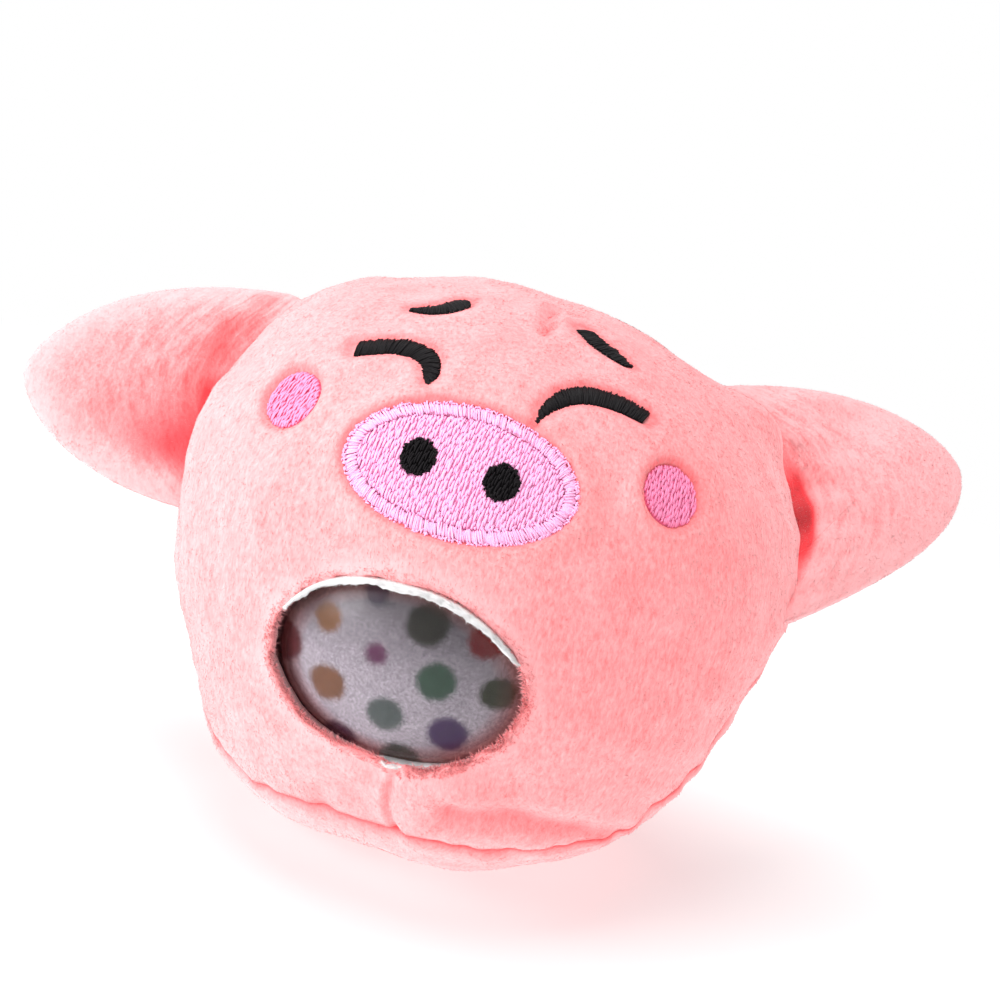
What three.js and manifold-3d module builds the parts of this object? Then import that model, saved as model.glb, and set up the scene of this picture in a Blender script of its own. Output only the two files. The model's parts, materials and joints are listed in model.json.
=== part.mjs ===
// A plush pig-head squeeze toy: a soft cover with two ears, sewn round a ball of clear gel and beads.
// The mouth is a hole in the cover. Squeezing the head pushes the ball out through it.
// Units are millimetres. The head is built with its face to -Y and its crown to +Z, and a group then
// tips it back so that it rests on the back of its chin, with the mouth looking straight along -Y.
import * as THREE from 'three';
import { mergeVertices } from 'three/addons/utils/BufferGeometryUtils.js';
import Module from 'manifold-3d';

const wasm = await Module();
wasm.setup();

// Head form
const HEAD_HALF_WIDTH = 45.0;
const FACE_DEPTH = 42.0;
const BACK_DEPTH = 41.0;
const CROWN_HEIGHT = 38.2;
const CHIN_DROP = 47.0;
const FLARE_SPAN = 45.0; // height over which the width changes by the two shares below
const CROWN_FLARE = 0.134; // the head widens upwards
const END_FLARE = 0.179; // and is fuller towards both ends than an ellipsoid
const CHIN_LEAN = 0.9; // the chin sits this far to one side
const HALF_BLEND = 4; // how sharply the front half passes into the back one, and the crown into the chin
// Where the stuffing makes the head fuller than its even form, with each swelling's angular size in degrees.
const SWELLINGS = [
  { longitude: -80, latitude: -56, rise: 2.4, spread: 18 },
  { longitude: 88, latitude: 48, rise: -1.0, spread: 22 },
];
const HEAD_TILT = 20; // degrees that the face is tipped up at rest
const BASE_SAG = 2.5; // how far the head settles on its base
const SAG_SOFTNESS = 2.0;
const BASE_CUT = 0.5;

// Cover, ball and clearances
const COVER = 2.9;
const SKIN = 1.0;
const GAP = 0.3;
const SEAM_TILT = 27; // degrees that the face panel's middle lies above straight ahead

// Mouth and the part of the ball behind it
const MOUTH_LONGITUDE = -3.4; // the mouth sits a little to one side of the nose
const MOUTH_LATITUDE = -27.7;
const MOUTH_HALF_WIDTH = 17.0;
const MOUTH_HALF_HEIGHT = 12.9;
const FACING_WIDTH = 0.8; // the knit backing seen as a pale edge inside the mouth
const FACING_SET_BACK = 0.4;
const BULGE_TRAVEL = 14.0;
const BULGE_GRIP = 3.0; // length of the bulge's wall that is still inside the ball at full travel
const WALL_DROP = 4.0; // how far the ball's surface falls away from the mouth's middle to its sides

// Fill plug of the ball, on its back
const PLUG_RADIUS = 4.0;

// Embroidery
const STITCH_RISE = 0.2;
const STITCH_SINK = 0.9;
const SNOUT_LATITUDE = 13.2;
const SNOUT_HALF_WIDTH = 16.2;
const SNOUT_HALF_HEIGHT = 9.5;
const SNOUT_BORDER = 1.9;
const NOSTRIL_SPACING = 5.9;
const NOSTRIL_RISE = 0.5;
const NOSTRIL_HALF_WIDTH = 2.3;
const NOSTRIL_HALF_HEIGHT = 2.5;
const FACE_SHIFT = 1.4; // degrees that eyes, brows and cheeks are turned to one side
const CHEEK_LONGITUDE = 39.5;
const CHEEK_LATITUDE = 18.6;
const CHEEK_HALF_WIDTH = 4.3;
const CHEEK_HALF_HEIGHT = 4.5;
const EYE_LONGITUDE = 22.0;
const EYE_LATITUDE = 33.5;
const EYE_STROKE = 2.9;
// A closed eye's arc from its outer end to its inner one, across and up, and its width along it as shares.
const EYE_LINE = [[7.2, 0.2], [3.6, 1.6], [-0.6, 2.1], [-4.4, 0.6], [-6.6, -4.0]];
const EYE_WIDTHS = [1, 1.05, 1, 0.8, 0.3];
const BROW_LONGITUDE = 25.5;
const BROW_LATITUDE = 52.6;
const BROW_STROKE = 2.1;
// A brow slopes down from its inner end to its outer one.
const BROW_LINE = [[-2.6, 2.2], [0, 0.3], [2.7, -2.6]];
const BROW_WIDTHS = [0.9, 1, 0.35];

// Ears
const EAR_LONGITUDE = 97;
const EAR_HALF_ROOT = 18.8;
const EAR_LENGTH = 27.0;
const EAR_WRAP = 12.0; // how far the ends of the root reach back round the head before it trims them
const EAR_LEAN = 16; // degrees that the root leans back with the seam
const EAR_HALF_THICKNESS = 4.2;
const EAR_EDGE = 1.2;
const EAR_LEAF = 1.6;
const EAR_ROOT_RADIUS = 1.5;
const EAR_CUP = 2.0;
const EAR_FOLD_FORWARD = 45; // degrees that an ear can fold about its seam
const EAR_FOLD_BACK = 30;
const EAR_FOLD_STEP = 15;
const EAR_MIDDLE = 0.4; // how far out along the ear it is fullest, as a share of its length
const TIP_ROUNDNESS = 0.85;
const SIDE_ROUNDNESS = 1.2;
// An ear leaf's section, in shares of the way from the ear's middle to its edge.
const LEAF_SHARES = [0, 0.4, 0.7, 0.9];
const LEAF_ROUNDING = { share: 0.98, fullness: 0.75 };
const LEAF_SEAM_SHARE = 0.88;
const LEAF_HOLLOW_SHARES = [0.72, 0.4, 0];
const PADDING_SHARES = [0, 0.38, 0.66];
// Each ear sits at its own height on the seam; its tip is raised above level and swept backwards, in degrees.
const EARS = [
  { name: 'left', sign: -1, latitude: 14.5, raise: -8, sweep: -4 },
  { name: 'right', sign: 1, latitude: 25, raise: 24, sweep: 34 },
];

// Beads
const BEAD_CLEARANCE = 0.75;
const BEAD_COVERING = 0.45; // gel between a bead and the gel's surface
const HIDDEN_BEAD_RADIUS = 2.2;
const HIDDEN_BEAD_PLACES = 20;
const HIDDEN_BEADS_FROM_MOUTH = 45; // degrees that these beads keep away from the mouth
// The beads seen in the mouth: place across and up from the mouth's middle, radius and colour.
const WINDOW_BEADS = [
  ['ochre', -9.2, 4.4, 1.9, 0x8a6a35],
  ['grey_green', 2.2, 7.0, 2.3, 0x56675c],
  ['plum', -3.5, 2.3, 1.9, 0x6b3f5c],
  ['orange', -8.7, -3.0, 2.2, 0x9a5f3c],
  ['green', 5.1, 0.5, 2.3, 0x4f7a5c],
  ['olive', 11.2, 0.9, 2.2, 0x5f6b40],
  ['teal', -0.5, -5.2, 2.3, 0x5d7a70],
  ['purple', 7.2, -5.2, 2.2, 0x5e4a6e],
  ['navy', -5.9, -7.0, 1.9, 0x2f3a5c],
];

// Facets
const FORM_AROUND = 26;
const FORM_UP = 13;
const MOUTH_POINTS = 24;
const PATCH_POINTS = 16;
const STROKE_STEPS = 9;
const EAR_EDGE_POINTS = 16;
const EAR_ROOT_POINTS = 8;

const rad = THREE.MathUtils.degToRad;
const cutLength = 4 * HEAD_HALF_WIDTH; // longer than the toy, for cutting blocks
const mouthDepth = HEAD_HALF_WIDTH / 2; // how far cuts at the mouth reach each way from the cover
const worldUp = new THREE.Vector3(0, -Math.sin(rad(HEAD_TILT)), Math.cos(rad(HEAD_TILT)));

// Direction from the middle of the head; longitude 0 looks ahead and turns towards +X.
function direction(longitude, latitude) {
  const lon = rad(longitude);
  const lat = rad(latitude);
  return new THREE.Vector3(
    Math.cos(lat) * Math.sin(lon),
    -Math.cos(lat) * Math.cos(lon),
    Math.sin(lat),
  );
}

// How far the stuffing pushes the surface out: a bell over the angle from each swelling's middle.
function fullness(dir) {
  return SWELLINGS.reduce((sum, { longitude, latitude, rise, spread }) => {
    const angle = dir.angleTo(direction(longitude, latitude)) / rad(spread);
    return sum + rise * Math.exp(-angle * angle);
  }, 0);
}

// Distance from the middle to the head's surface before its width is flared.
function reachAlong(dir) {
  const ahead = 0.5 - 0.5 * Math.tanh(HALF_BLEND * dir.y);
  const above = 0.5 + 0.5 * Math.tanh(HALF_BLEND * dir.z);
  const halfDepth = THREE.MathUtils.lerp(BACK_DEPTH, FACE_DEPTH, ahead);
  const halfHeight = THREE.MathUtils.lerp(CHIN_DROP, CROWN_HEIGHT, above);
  const even = 1 / Math.hypot(dir.x / HEAD_HALF_WIDTH, dir.y / halfDepth, dir.z / halfHeight);
  return even + fullness(dir);
}

function flareAt(z) {
  const share = z / FLARE_SPAN;
  return { width: 1 + CROWN_FLARE * share + END_FLARE * share * share, lean: -CHIN_LEAN * share };
}

// A point of the unsettled head, a given depth below its surface.
function formPoint(dir, depth) {
  const point = dir.clone().multiplyScalar(reachAlong(dir) - depth);
  const flare = flareAt(point.z);
  point.x = point.x * flare.width + flare.lean;
  return point;
}

// The direction and depth that formPoint needs to give a point.
function unflared(point) {
  const flare = flareAt(point.z);
  const dir = new THREE.Vector3((point.x - flare.lean) / flare.width, point.y, point.z);
  const distance = dir.length();
  dir.divideScalar(distance);
  return { dir, depth: reachAlong(dir) - distance };
}

const formDirections = [];
for (let row = 1; row < FORM_UP; row++) {
  for (let column = 0; column < FORM_AROUND; column++) {
    formDirections.push(direction((column * 360) / FORM_AROUND, -90 + (row * 180) / FORM_UP));
  }
}
formDirections.push(direction(0, -90), direction(0, 90));

function smoothMax(a, b, softness) {
  return 0.5 * (a + b + Math.hypot(a - b, softness));
}

const lowest = Math.min(...formDirections.map((dir) => formPoint(dir, 0).dot(worldUp)));

// A point of the head as it rests: its underside settles softly towards a level base.
function headPoint(dir, depth) {
  const point = formPoint(dir, depth);
  const height = point.dot(worldUp);
  const settled = smoothMax(height, lowest + BASE_SAG + depth, SAG_SOFTNESS);
  return point.addScaledVector(worldUp, settled - height);
}

const restHeight = Math.min(...formDirections.map((dir) => headPoint(dir, 0).dot(worldUp)));
const baseHeight = restHeight + BASE_CUT;

// Outward normal of the resting head, a given depth below its surface.
function headNormal(dir, depth = 0) {
  const step = 0.01;
  const first = new THREE.Vector3(1, 0, 0).cross(dir).normalize();
  const second = new THREE.Vector3().crossVectors(dir, first);
  const change = (side) => {
    const ahead = headPoint(dir.clone().addScaledVector(side, step).normalize(), depth);
    const behind = headPoint(dir.clone().addScaledVector(side, -step).normalize(), depth);
    return ahead.sub(behind);
  };
  return change(first).cross(change(second)).normalize();
}

function indexedGeometry(points, triangles) {
  const geometry = new THREE.BufferGeometry();
  const numbers = points.flatMap((point) => point.toArray());
  geometry.setAttribute('position', new THREE.Float32BufferAttribute(numbers, 3));
  geometry.setIndex(triangles);
  return geometry;
}

// The closed form of the head, a given depth below its surface.
function formGeometry(depth) {
  const points = formDirections.map((dir) => headPoint(dir, depth));
  const triangles = [];
  const rows = FORM_UP - 1;
  const at = (row, column) => row * FORM_AROUND + (column % FORM_AROUND);
  const bottom = rows * FORM_AROUND;
  for (let column = 0; column < FORM_AROUND; column++) {
    triangles.push(bottom, at(0, column + 1), at(0, column));
    triangles.push(bottom + 1, at(rows - 1, column), at(rows - 1, column + 1));
    for (let row = 0; row < rows - 1; row++) {
      triangles.push(at(row, column), at(row, column + 1), at(row + 1, column + 1));
      triangles.push(at(row, column), at(row + 1, column + 1), at(row + 1, column));
    }
  }
  return indexedGeometry(points, triangles);
}

function solidOf(geometry) {
  geometry.deleteAttribute('normal');
  geometry.deleteAttribute('uv');
  const merged = mergeVertices(geometry, 1e-4);
  const vertProperties = new Float32Array(merged.attributes.position.array);
  const triVerts = new Uint32Array(merged.index.array);
  return new wasm.Manifold(new wasm.Mesh({ numProp: 3, vertProperties, triVerts }));
}

const formSolids = new Map();
function form(depth) {
  if (!formSolids.has(depth)) formSolids.set(depth, solidOf(formGeometry(depth)));
  return formSolids.get(depth);
}

const shell = (outerDepth, innerDepth) => form(outerDepth).subtract(form(innerDepth));

// A large block that fills everything beyond a plane.
function blockBeyond(point, normal) {
  const turn = new THREE.Quaternion().setFromUnitVectors(new THREE.Vector3(0, 0, 1), normal);
  const centre = point.clone().addScaledVector(normal, cutLength / 2);
  const geometry = new THREE.BoxGeometry(cutLength, cutLength, cutLength);
  geometry.applyMatrix4(new THREE.Matrix4().compose(centre, turn, new THREE.Vector3(1, 1, 1)));
  return solidOf(geometry);
}

// A prism along a frame's own third axis, through the frame's origin.
function prism(shape, frame, back, front) {
  const depth = front - back;
  const geometry = new THREE.ExtrudeGeometry(shape, { depth, bevelEnabled: false, curveSegments: 1 });
  geometry.translate(0, 0, back);
  geometry.applyMatrix4(frame);
  return solidOf(geometry);
}

function oval(halfWidth, halfHeight, count, x = 0, y = 0) {
  const points = [];
  for (let i = 0; i < count; i++) {
    const angle = (i * 2 * Math.PI) / count;
    points.push(new THREE.Vector2(x + halfWidth * Math.cos(angle), y + halfHeight * Math.sin(angle)));
  }
  return new THREE.Shape(points);
}

// A band along a smooth line, with its own width at each of the points that shape it.
function stroke(line, widths, grow) {
  const curve = new THREE.SplineCurve(line.map(([x, y]) => new THREE.Vector2(x, y)));
  const left = [];
  const right = [];
  for (let i = 0; i <= STROKE_STEPS; i++) {
    const share = i / STROKE_STEPS;
    const place = share * (widths.length - 1);
    const index = Math.min(Math.floor(place), widths.length - 2);
    const half = THREE.MathUtils.lerp(widths[index], widths[index + 1], place - index) / 2 + grow;
    const middle = curve.getPoint(share);
    const along = curve.getTangent(share);
    if (i === 0) middle.addScaledVector(along, -grow);
    if (i === STROKE_STEPS) middle.addScaledVector(along, grow);
    left.push(new THREE.Vector2(middle.x - along.y * half, middle.y + along.x * half));
    right.push(new THREE.Vector2(middle.x + along.y * half, middle.y - along.x * half));
  }
  return new THREE.Shape([...right, ...left.reverse()]);
}

// A frame that lies on the head's surface: first axis across, second axis up, third axis outwards.
function surfaceFrame(longitude, latitude, outwards = headNormal(direction(longitude, latitude))) {
  const origin = headPoint(direction(longitude, latitude), 0);
  const across = new THREE.Vector3().crossVectors(new THREE.Vector3(0, 0, 1), outwards).normalize();
  const up = new THREE.Vector3().crossVectors(outwards, across);
  return new THREE.Matrix4().makeBasis(across, up, outwards).setPosition(origin);
}

function finish(colour, roughness, extra = {}) {
  return new THREE.MeshStandardMaterial({ color: colour, roughness, metalness: 0, ...extra });
}

const plush = finish(0xf6a3a0, 0.95);
const knitBacking = finish(0xf4ece8, 0.9);
const wadding = finish(0xf2f0ec, 0.95);
const pinkThread = finish(0xf293cc, 0.55);
const paleThread = finish(0xf9b4dd, 0.5);
const blackThread = finish(0x1a1719, 0.5);
const frostedSkin = finish(0xd8d4d6, 0.45, { transparent: true, opacity: 0.55 });
const clearGel = finish(0xb9b3b6, 0.3, { transparent: true, opacity: 0.6 });
const plugRubber = finish(0xe2dfe0, 0.5);

function meshOf(name, solid, material) {
  const mesh = solid.getMesh();
  const geometry = new THREE.BufferGeometry();
  geometry.setAttribute('position', new THREE.BufferAttribute(mesh.vertProperties, 3));
  geometry.setIndex(new THREE.BufferAttribute(mesh.triVerts, 1));
  geometry.computeVertexNormals();
  const piece = new THREE.Mesh(geometry, material);
  piece.name = name;
  return piece;
}

// Mouth: its frame looks straight along the axis that the ball comes out on.
const mouthAxis = direction(0, -HEAD_TILT);
const mouthFrame = surfaceFrame(MOUTH_LONGITUDE, MOUTH_LATITUDE, mouthAxis);
const skinDepth = COVER + GAP;
const gelDepth = skinDepth + SKIN + GAP;
const bulgeBack = -(skinDepth + WALL_DROP + BULGE_TRAVEL + BULGE_GRIP);

// An oval prism in the mouth, smaller than the opening by the given inset all round.
function mouthPrism(inset, back = -mouthDepth) {
  const outline = oval(MOUTH_HALF_WIDTH - inset, MOUTH_HALF_HEIGHT - inset, MOUTH_POINTS);
  return prism(outline, mouthFrame, back, mouthDepth);
}
const facingOuter = GAP;
const facingInner = facingOuter + FACING_WIDTH;
const bulgeInset = facingInner + GAP;

const stitchReach = SNOUT_HALF_HEIGHT; // how far a stitched patch's prism reaches each side of the surface

// A patch of stitches set into the cover, with the pocket that it lies in.
function patch(frame, outline) {
  const solid = prism(outline(0), frame, -stitchReach, stitchReach)
    .intersect(shell(-STITCH_RISE, STITCH_SINK));
  const pocket = prism(outline(GAP), frame, -stitchReach, stitchReach).subtract(form(STITCH_SINK + GAP));
  return { solid, pocket };
}

const mirrored = (line, side) => line.map(([x, y]) => [side * x, y]);
const sides = [
  { name: 'left', sign: -1 },
  { name: 'right', sign: 1 },
];

function buildEmbroidery() {
  const group = new THREE.Group();
  const pockets = [];
  const snoutFrame = surfaceFrame(0, SNOUT_LATITUDE);
  const snoutOval = (inset) => oval(SNOUT_HALF_WIDTH - inset, SNOUT_HALF_HEIGHT - inset, MOUTH_POINTS);
  const border = patch(snoutFrame, (grow) => snoutOval(-grow));
  const inside = prism(snoutOval(SNOUT_BORDER), snoutFrame, -stitchReach, stitchReach);
  group.add(meshOf('snout_border', border.solid.subtract(inside), paleThread));
  pockets.push(border.pocket);

  let fill = patch(snoutFrame, () => snoutOval(SNOUT_BORDER + GAP)).solid;
  for (const { name, sign } of sides) {
    const outline = (grow) =>
      oval(NOSTRIL_HALF_WIDTH + grow, NOSTRIL_HALF_HEIGHT + grow, PATCH_POINTS, sign * NOSTRIL_SPACING,
        NOSTRIL_RISE);
    fill = fill.subtract(prism(outline(GAP), snoutFrame, -stitchReach, stitchReach));
    group.add(meshOf(`nostril_${name}`, patch(snoutFrame, outline).solid, blackThread));
  }
  group.add(meshOf('snout_fill', fill, pinkThread));

  const eyeWidths = EYE_WIDTHS.map((share) => share * EYE_STROKE);
  const browWidths = BROW_WIDTHS.map((share) => share * BROW_STROKE);
  for (const { name, sign } of sides) {
    const features = [
      [`cheek_${name}`, pinkThread, sign * CHEEK_LONGITUDE, CHEEK_LATITUDE,
        (grow) => oval(CHEEK_HALF_WIDTH + grow, CHEEK_HALF_HEIGHT + grow, PATCH_POINTS)],
      [`eye_${name}`, blackThread, sign * EYE_LONGITUDE, EYE_LATITUDE,
        (grow) => stroke(mirrored(EYE_LINE, sign), eyeWidths, grow)],
      [`brow_${name}`, blackThread, sign * BROW_LONGITUDE, BROW_LATITUDE,
        (grow) => stroke(mirrored(BROW_LINE, sign), browWidths, grow)],
    ];
    for (const [node, material, longitude, latitude, outline] of features) {
      const { solid, pocket } = patch(surfaceFrame(longitude + FACE_SHIFT, latitude), outline);
      group.add(meshOf(node, solid, material));
      pockets.push(pocket);
    }
  }
  return { group, pockets };
}

function buildCover(pockets) {
  const group = new THREE.Group();
  const facePole = direction(0, SEAM_TILT);
  const seamFace = (offset) => facePole.clone().multiplyScalar(offset);
  const behindSeam = blockBeyond(seamFace(GAP / 2), facePole.clone().negate());
  const beforeSeam = blockBeyond(seamFace(-GAP / 2), facePole);
  const underBase = blockBeyond(worldUp.clone().multiplyScalar(baseHeight), worldUp.clone().negate());
  const cover = shell(0, COVER).subtract(underBase);
  let face = cover.subtract(behindSeam).subtract(mouthPrism(0));
  for (const pocket of pockets) face = face.subtract(pocket);
  group.add(meshOf('face_panel', face, plush));
  group.add(meshOf('back_panel', cover.subtract(beforeSeam), plush));
  const facing = mouthPrism(facingOuter).subtract(mouthPrism(facingInner))
    .intersect(shell(FACING_SET_BACK, COVER));
  group.add(meshOf('mouth_facing', facing, knitBacking));
  return group;
}

// Ear: first axis runs from root to tip, second axis up along the root, third axis to the front.
function earOutline() {
  const rootAt = (b) => -EAR_ROOT_RADIUS - EAR_WRAP * (b / EAR_HALF_ROOT) ** 2;
  const drop = rootAt(EAR_HALF_ROOT);
  const points = [];
  for (let i = 0; i <= EAR_EDGE_POINTS; i++) {
    const angle = -Math.PI / 2 + (i * Math.PI) / EAR_EDGE_POINTS;
    const along = Math.max(Math.cos(angle), 0) ** TIP_ROUNDNESS;
    const across = Math.sign(Math.sin(angle)) * Math.abs(Math.sin(angle)) ** SIDE_ROUNDNESS;
    points.push([drop + (EAR_LENGTH - drop) * along, EAR_HALF_ROOT * across]);
  }
  for (let i = 1; i < EAR_ROOT_POINTS; i++) {
    const b = EAR_HALF_ROOT * (1 - (2 * i) / EAR_ROOT_POINTS);
    points.push([rootAt(b), b]);
  }
  return points;
}

// A closed body over the ear's outline: each profile pair is a share of the way out and a height.
function earLoft(profile, facing) {
  const outline = earOutline();
  const middle = EAR_LENGTH * EAR_MIDDLE;
  const points = [];
  const triangles = [];
  const place = (share, [a, b], height) => {
    const along = middle + share * (a - middle);
    const cup = EAR_CUP * (along / EAR_LENGTH) ** 2;
    return new THREE.Vector3(along, share * b, cup + facing * height);
  };
  for (const [share, height] of profile.slice(1, -1)) {
    for (const corner of outline) points.push(place(share, corner, height));
  }
  const count = outline.length;
  const rings = profile.length - 2;
  const first = points.push(place(0, [0, 0], profile[0][1])) - 1;
  const last = points.push(place(0, [0, 0], profile.at(-1)[1])) - 1;
  for (let i = 0; i < count; i++) {
    const next = (i + 1) % count;
    triangles.push(first, i, next);
    triangles.push(last, (rings - 1) * count + next, (rings - 1) * count + i);
    for (let ring = 0; ring < rings - 1; ring++) {
      const a = ring * count;
      const b = a + count;
      triangles.push(a + i, b + i, b + next, a + i, b + next, a + next);
    }
  }
  if (facing < 0) triangles.reverse();
  return indexedGeometry(points, triangles);
}

function buildEar({ name, sign, latitude, raise, sweep }) {
  const group = new THREE.Group();
  const swell = (share) => EAR_EDGE + (EAR_HALF_THICKNESS - EAR_EDGE) * (1 - share * share);
  const split = GAP / 2;
  const leaf = [
    ...LEAF_SHARES.map((share) => [share, swell(share)]),
    [LEAF_ROUNDING.share, EAR_EDGE * LEAF_ROUNDING.fullness],
    [1, split],
    [LEAF_SEAM_SHARE, split],
    ...LEAF_HOLLOW_SHARES.map((share) => [share, swell(share) - EAR_LEAF]),
  ];
  const pad = PADDING_SHARES.map((share) => [share, swell(share) - EAR_LEAF - GAP]);
  const mirroredPad = pad.map(([share, height]) => [share, -height]).reverse();

  const base = formPoint(direction(sign * EAR_LONGITUDE, latitude), -(GAP + EAR_ROOT_RADIUS));
  const turn = new THREE.Matrix4().makeRotationY(-rad(raise));
  turn.multiply(new THREE.Matrix4().makeRotationZ(rad(sweep)));
  turn.multiply(new THREE.Matrix4().makeRotationX(-rad(EAR_LEAN)));
  const along = new THREE.Vector3(1, 0, 0).applyMatrix4(turn);
  const up = new THREE.Vector3(0, 0, 1).applyMatrix4(turn);
  along.x *= sign;
  up.x *= sign;
  const ahead = new THREE.Vector3().crossVectors(along, up).multiplyScalar(sign);
  const frame = new THREE.Matrix4().makeBasis(along, up.multiplyScalar(sign), ahead);
  frame.setPosition(base);
  group.applyMatrix4(frame);

  // The root tapers into its seam, so that it stays clear of the head however far the ear is folded.
  const heads = [];
  for (let fold = -EAR_FOLD_BACK; fold <= EAR_FOLD_FORWARD; fold += EAR_FOLD_STEP) {
    const folded = new THREE.Matrix4().makeRotationY(rad(fold)).multiply(frame.clone().invert());
    heads.push(solidOf(formGeometry(-GAP).applyMatrix4(folded)));
  }
  const pieces = [
    [`ear_front_${name}`, earLoft(leaf, 1), plush],
    [`ear_back_${name}`, earLoft(leaf, -1), plush],
    [`ear_wadding_${name}`, earLoft([...pad, ...mirroredPad], 1), wadding],
  ];
  for (const [node, geometry, material] of pieces) {
    const trimmed = heads.reduce((solid, head) => solid.subtract(head), solidOf(geometry));
    group.add(meshOf(node, trimmed, material));
  }
  return group;
}

function beadSolid(radius, centre) {
  const geometry = new THREE.IcosahedronGeometry(radius, 1);
  geometry.translate(centre.x, centre.y, centre.z);
  return solidOf(geometry);
}

// Middle of a bead that lies just under the gel's surface, in a direction from the head's middle.
function beadCentre(dir, radius) {
  const inwards = -(BEAD_COVERING + radius);
  return headPoint(dir, gelDepth).addScaledVector(headNormal(dir, gelDepth), inwards);
}

// The direction in which the gel's surface lies straight behind a place in the mouth.
function directionInMouth(across, up) {
  let near = 0;
  let far = -mouthDepth;
  const closeEnough = 1e-6;
  const at = (outwards) => new THREE.Vector3(across, up, outwards).applyMatrix4(mouthFrame);
  while (near - far > closeEnough) {
    const middle = (near + far) / 2;
    if (unflared(at(middle)).depth < gelDepth) near = middle;
    else far = middle;
  }
  return unflared(at(near)).dir;
}

function buildBulge() {
  const group = new THREE.Group();
  const wall = mouthPrism(bulgeInset, bulgeBack).intersect(form(skinDepth));
  const hollow = mouthPrism(bulgeInset + SKIN, bulgeBack - GAP).intersect(form(skinDepth + SKIN));
  group.add(meshOf('bulge_skin', wall.subtract(hollow), frostedSkin));
  let gel = mouthPrism(bulgeInset + SKIN + GAP, bulgeBack).intersect(form(gelDepth));
  for (const [colour, across, up, radius, tint] of WINDOW_BEADS) {
    const centre = beadCentre(directionInMouth(across, up), radius);
    gel = gel.subtract(beadSolid(radius + BEAD_CLEARANCE, centre));
    group.add(meshOf(`bead_${colour}`, beadSolid(radius, centre), finish(tint, 0.5)));
  }
  group.add(meshOf('bulge_gel', gel, clearGel));
  return group;
}

function buildBall() {
  const group = new THREE.Group();
  const plugFrame = surfaceFrame(180, 0);
  const plugOval = (grow) => oval(PLUG_RADIUS + grow, PLUG_RADIUS + grow, PATCH_POINTS);
  const plugRod = (grow) => prism(plugOval(grow), plugFrame, -(gelDepth + SKIN), gelDepth);
  const bulgeHole = mouthPrism(bulgeInset - GAP, bulgeBack - GAP);
  const skin = shell(skinDepth, skinDepth + SKIN);
  group.add(meshOf('ball_skin', skin.subtract(bulgeHole).subtract(plugRod(GAP)), frostedSkin));
  group.add(meshOf('fill_plug', skin.intersect(plugRod(0)), plugRubber));

  let gel = form(gelDepth).subtract(bulgeHole);
  const goldenTurn = 180 * (3 - Math.sqrt(5));
  const mouthDirection = direction(MOUTH_LONGITUDE, MOUTH_LATITUDE);
  const beadTints = WINDOW_BEADS.map((bead) => bead[4]);
  const clearOfMouth = Math.cos(rad(HIDDEN_BEADS_FROM_MOUTH));
  let number = 0;
  for (let i = 0; i < HIDDEN_BEAD_PLACES; i++) {
    const latitude = THREE.MathUtils.radToDeg(Math.asin(1 - (2 * i + 1) / HIDDEN_BEAD_PLACES));
    const dir = direction(i * goldenTurn, latitude);
    if (dir.dot(mouthDirection) > clearOfMouth) continue;
    number++;
    const centre = beadCentre(dir, HIDDEN_BEAD_RADIUS);
    gel = gel.subtract(beadSolid(HIDDEN_BEAD_RADIUS + BEAD_CLEARANCE, centre));
    const tint = finish(beadTints[number % beadTints.length], 0.5);
    group.add(meshOf(`bead_${number}`, beadSolid(HIDDEN_BEAD_RADIUS, centre), tint));
  }
  group.add(meshOf('ball_gel', gel, clearGel));
  return group;
}

const head = new THREE.Group();
head.rotation.x = -rad(HEAD_TILT);
head.position.z = -baseHeight;
const embroidery = buildEmbroidery();
head.add(buildCover(embroidery.pockets), embroidery.group, buildBall(), buildBulge());
head.add(...EARS.map(buildEar));

const toy = new THREE.Group();
toy.add(head);
export default toy;
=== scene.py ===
"""The looks of a plush animal-head squeeze toy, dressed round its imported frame.

Shapes are worked out in millimetres in the head's own frame, with the face to -Y and the crown to +Z.
Pairs of numbers that place things on the head are longitude and latitude in degrees: longitude 0 looks
straight ahead and turns towards +X. Each finished mesh is tipped back and lifted into the frame's metres.
"""

import json
import logging
from dataclasses import dataclass, field
from enum import Enum
from functools import cached_property
from typing import Callable, Iterable, Sequence

import bpy
import numpy as np
from mathutils import Matrix, Vector


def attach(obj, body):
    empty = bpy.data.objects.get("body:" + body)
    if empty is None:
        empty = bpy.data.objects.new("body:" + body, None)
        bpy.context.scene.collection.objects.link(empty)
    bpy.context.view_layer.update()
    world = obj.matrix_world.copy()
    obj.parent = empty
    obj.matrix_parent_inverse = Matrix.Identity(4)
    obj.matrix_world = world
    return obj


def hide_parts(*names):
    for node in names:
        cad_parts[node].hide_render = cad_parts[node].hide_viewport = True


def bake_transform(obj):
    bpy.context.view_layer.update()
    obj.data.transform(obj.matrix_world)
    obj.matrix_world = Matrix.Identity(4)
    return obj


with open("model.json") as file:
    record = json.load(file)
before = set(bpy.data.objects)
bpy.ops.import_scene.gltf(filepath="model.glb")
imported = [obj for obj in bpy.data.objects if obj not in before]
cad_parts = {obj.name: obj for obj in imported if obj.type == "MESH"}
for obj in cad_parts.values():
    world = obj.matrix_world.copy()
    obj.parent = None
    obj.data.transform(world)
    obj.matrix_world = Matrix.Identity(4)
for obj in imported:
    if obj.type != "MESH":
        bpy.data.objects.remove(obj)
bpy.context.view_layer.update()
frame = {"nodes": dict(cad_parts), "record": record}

LOG = logging.getLogger("squeeze_toy")
Array = np.ndarray
Pair = tuple[Array, Array]
Draw = np.random.Generator
Colour = tuple[int, int, int]
Outline = Callable[[Array], Pair]
Closed = tuple[Array, Sequence[Array]]
Body = tuple[Array, Sequence[Array], Array]
Piece = bpy.types.Object
Socket = bpy.types.NodeSocket

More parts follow.
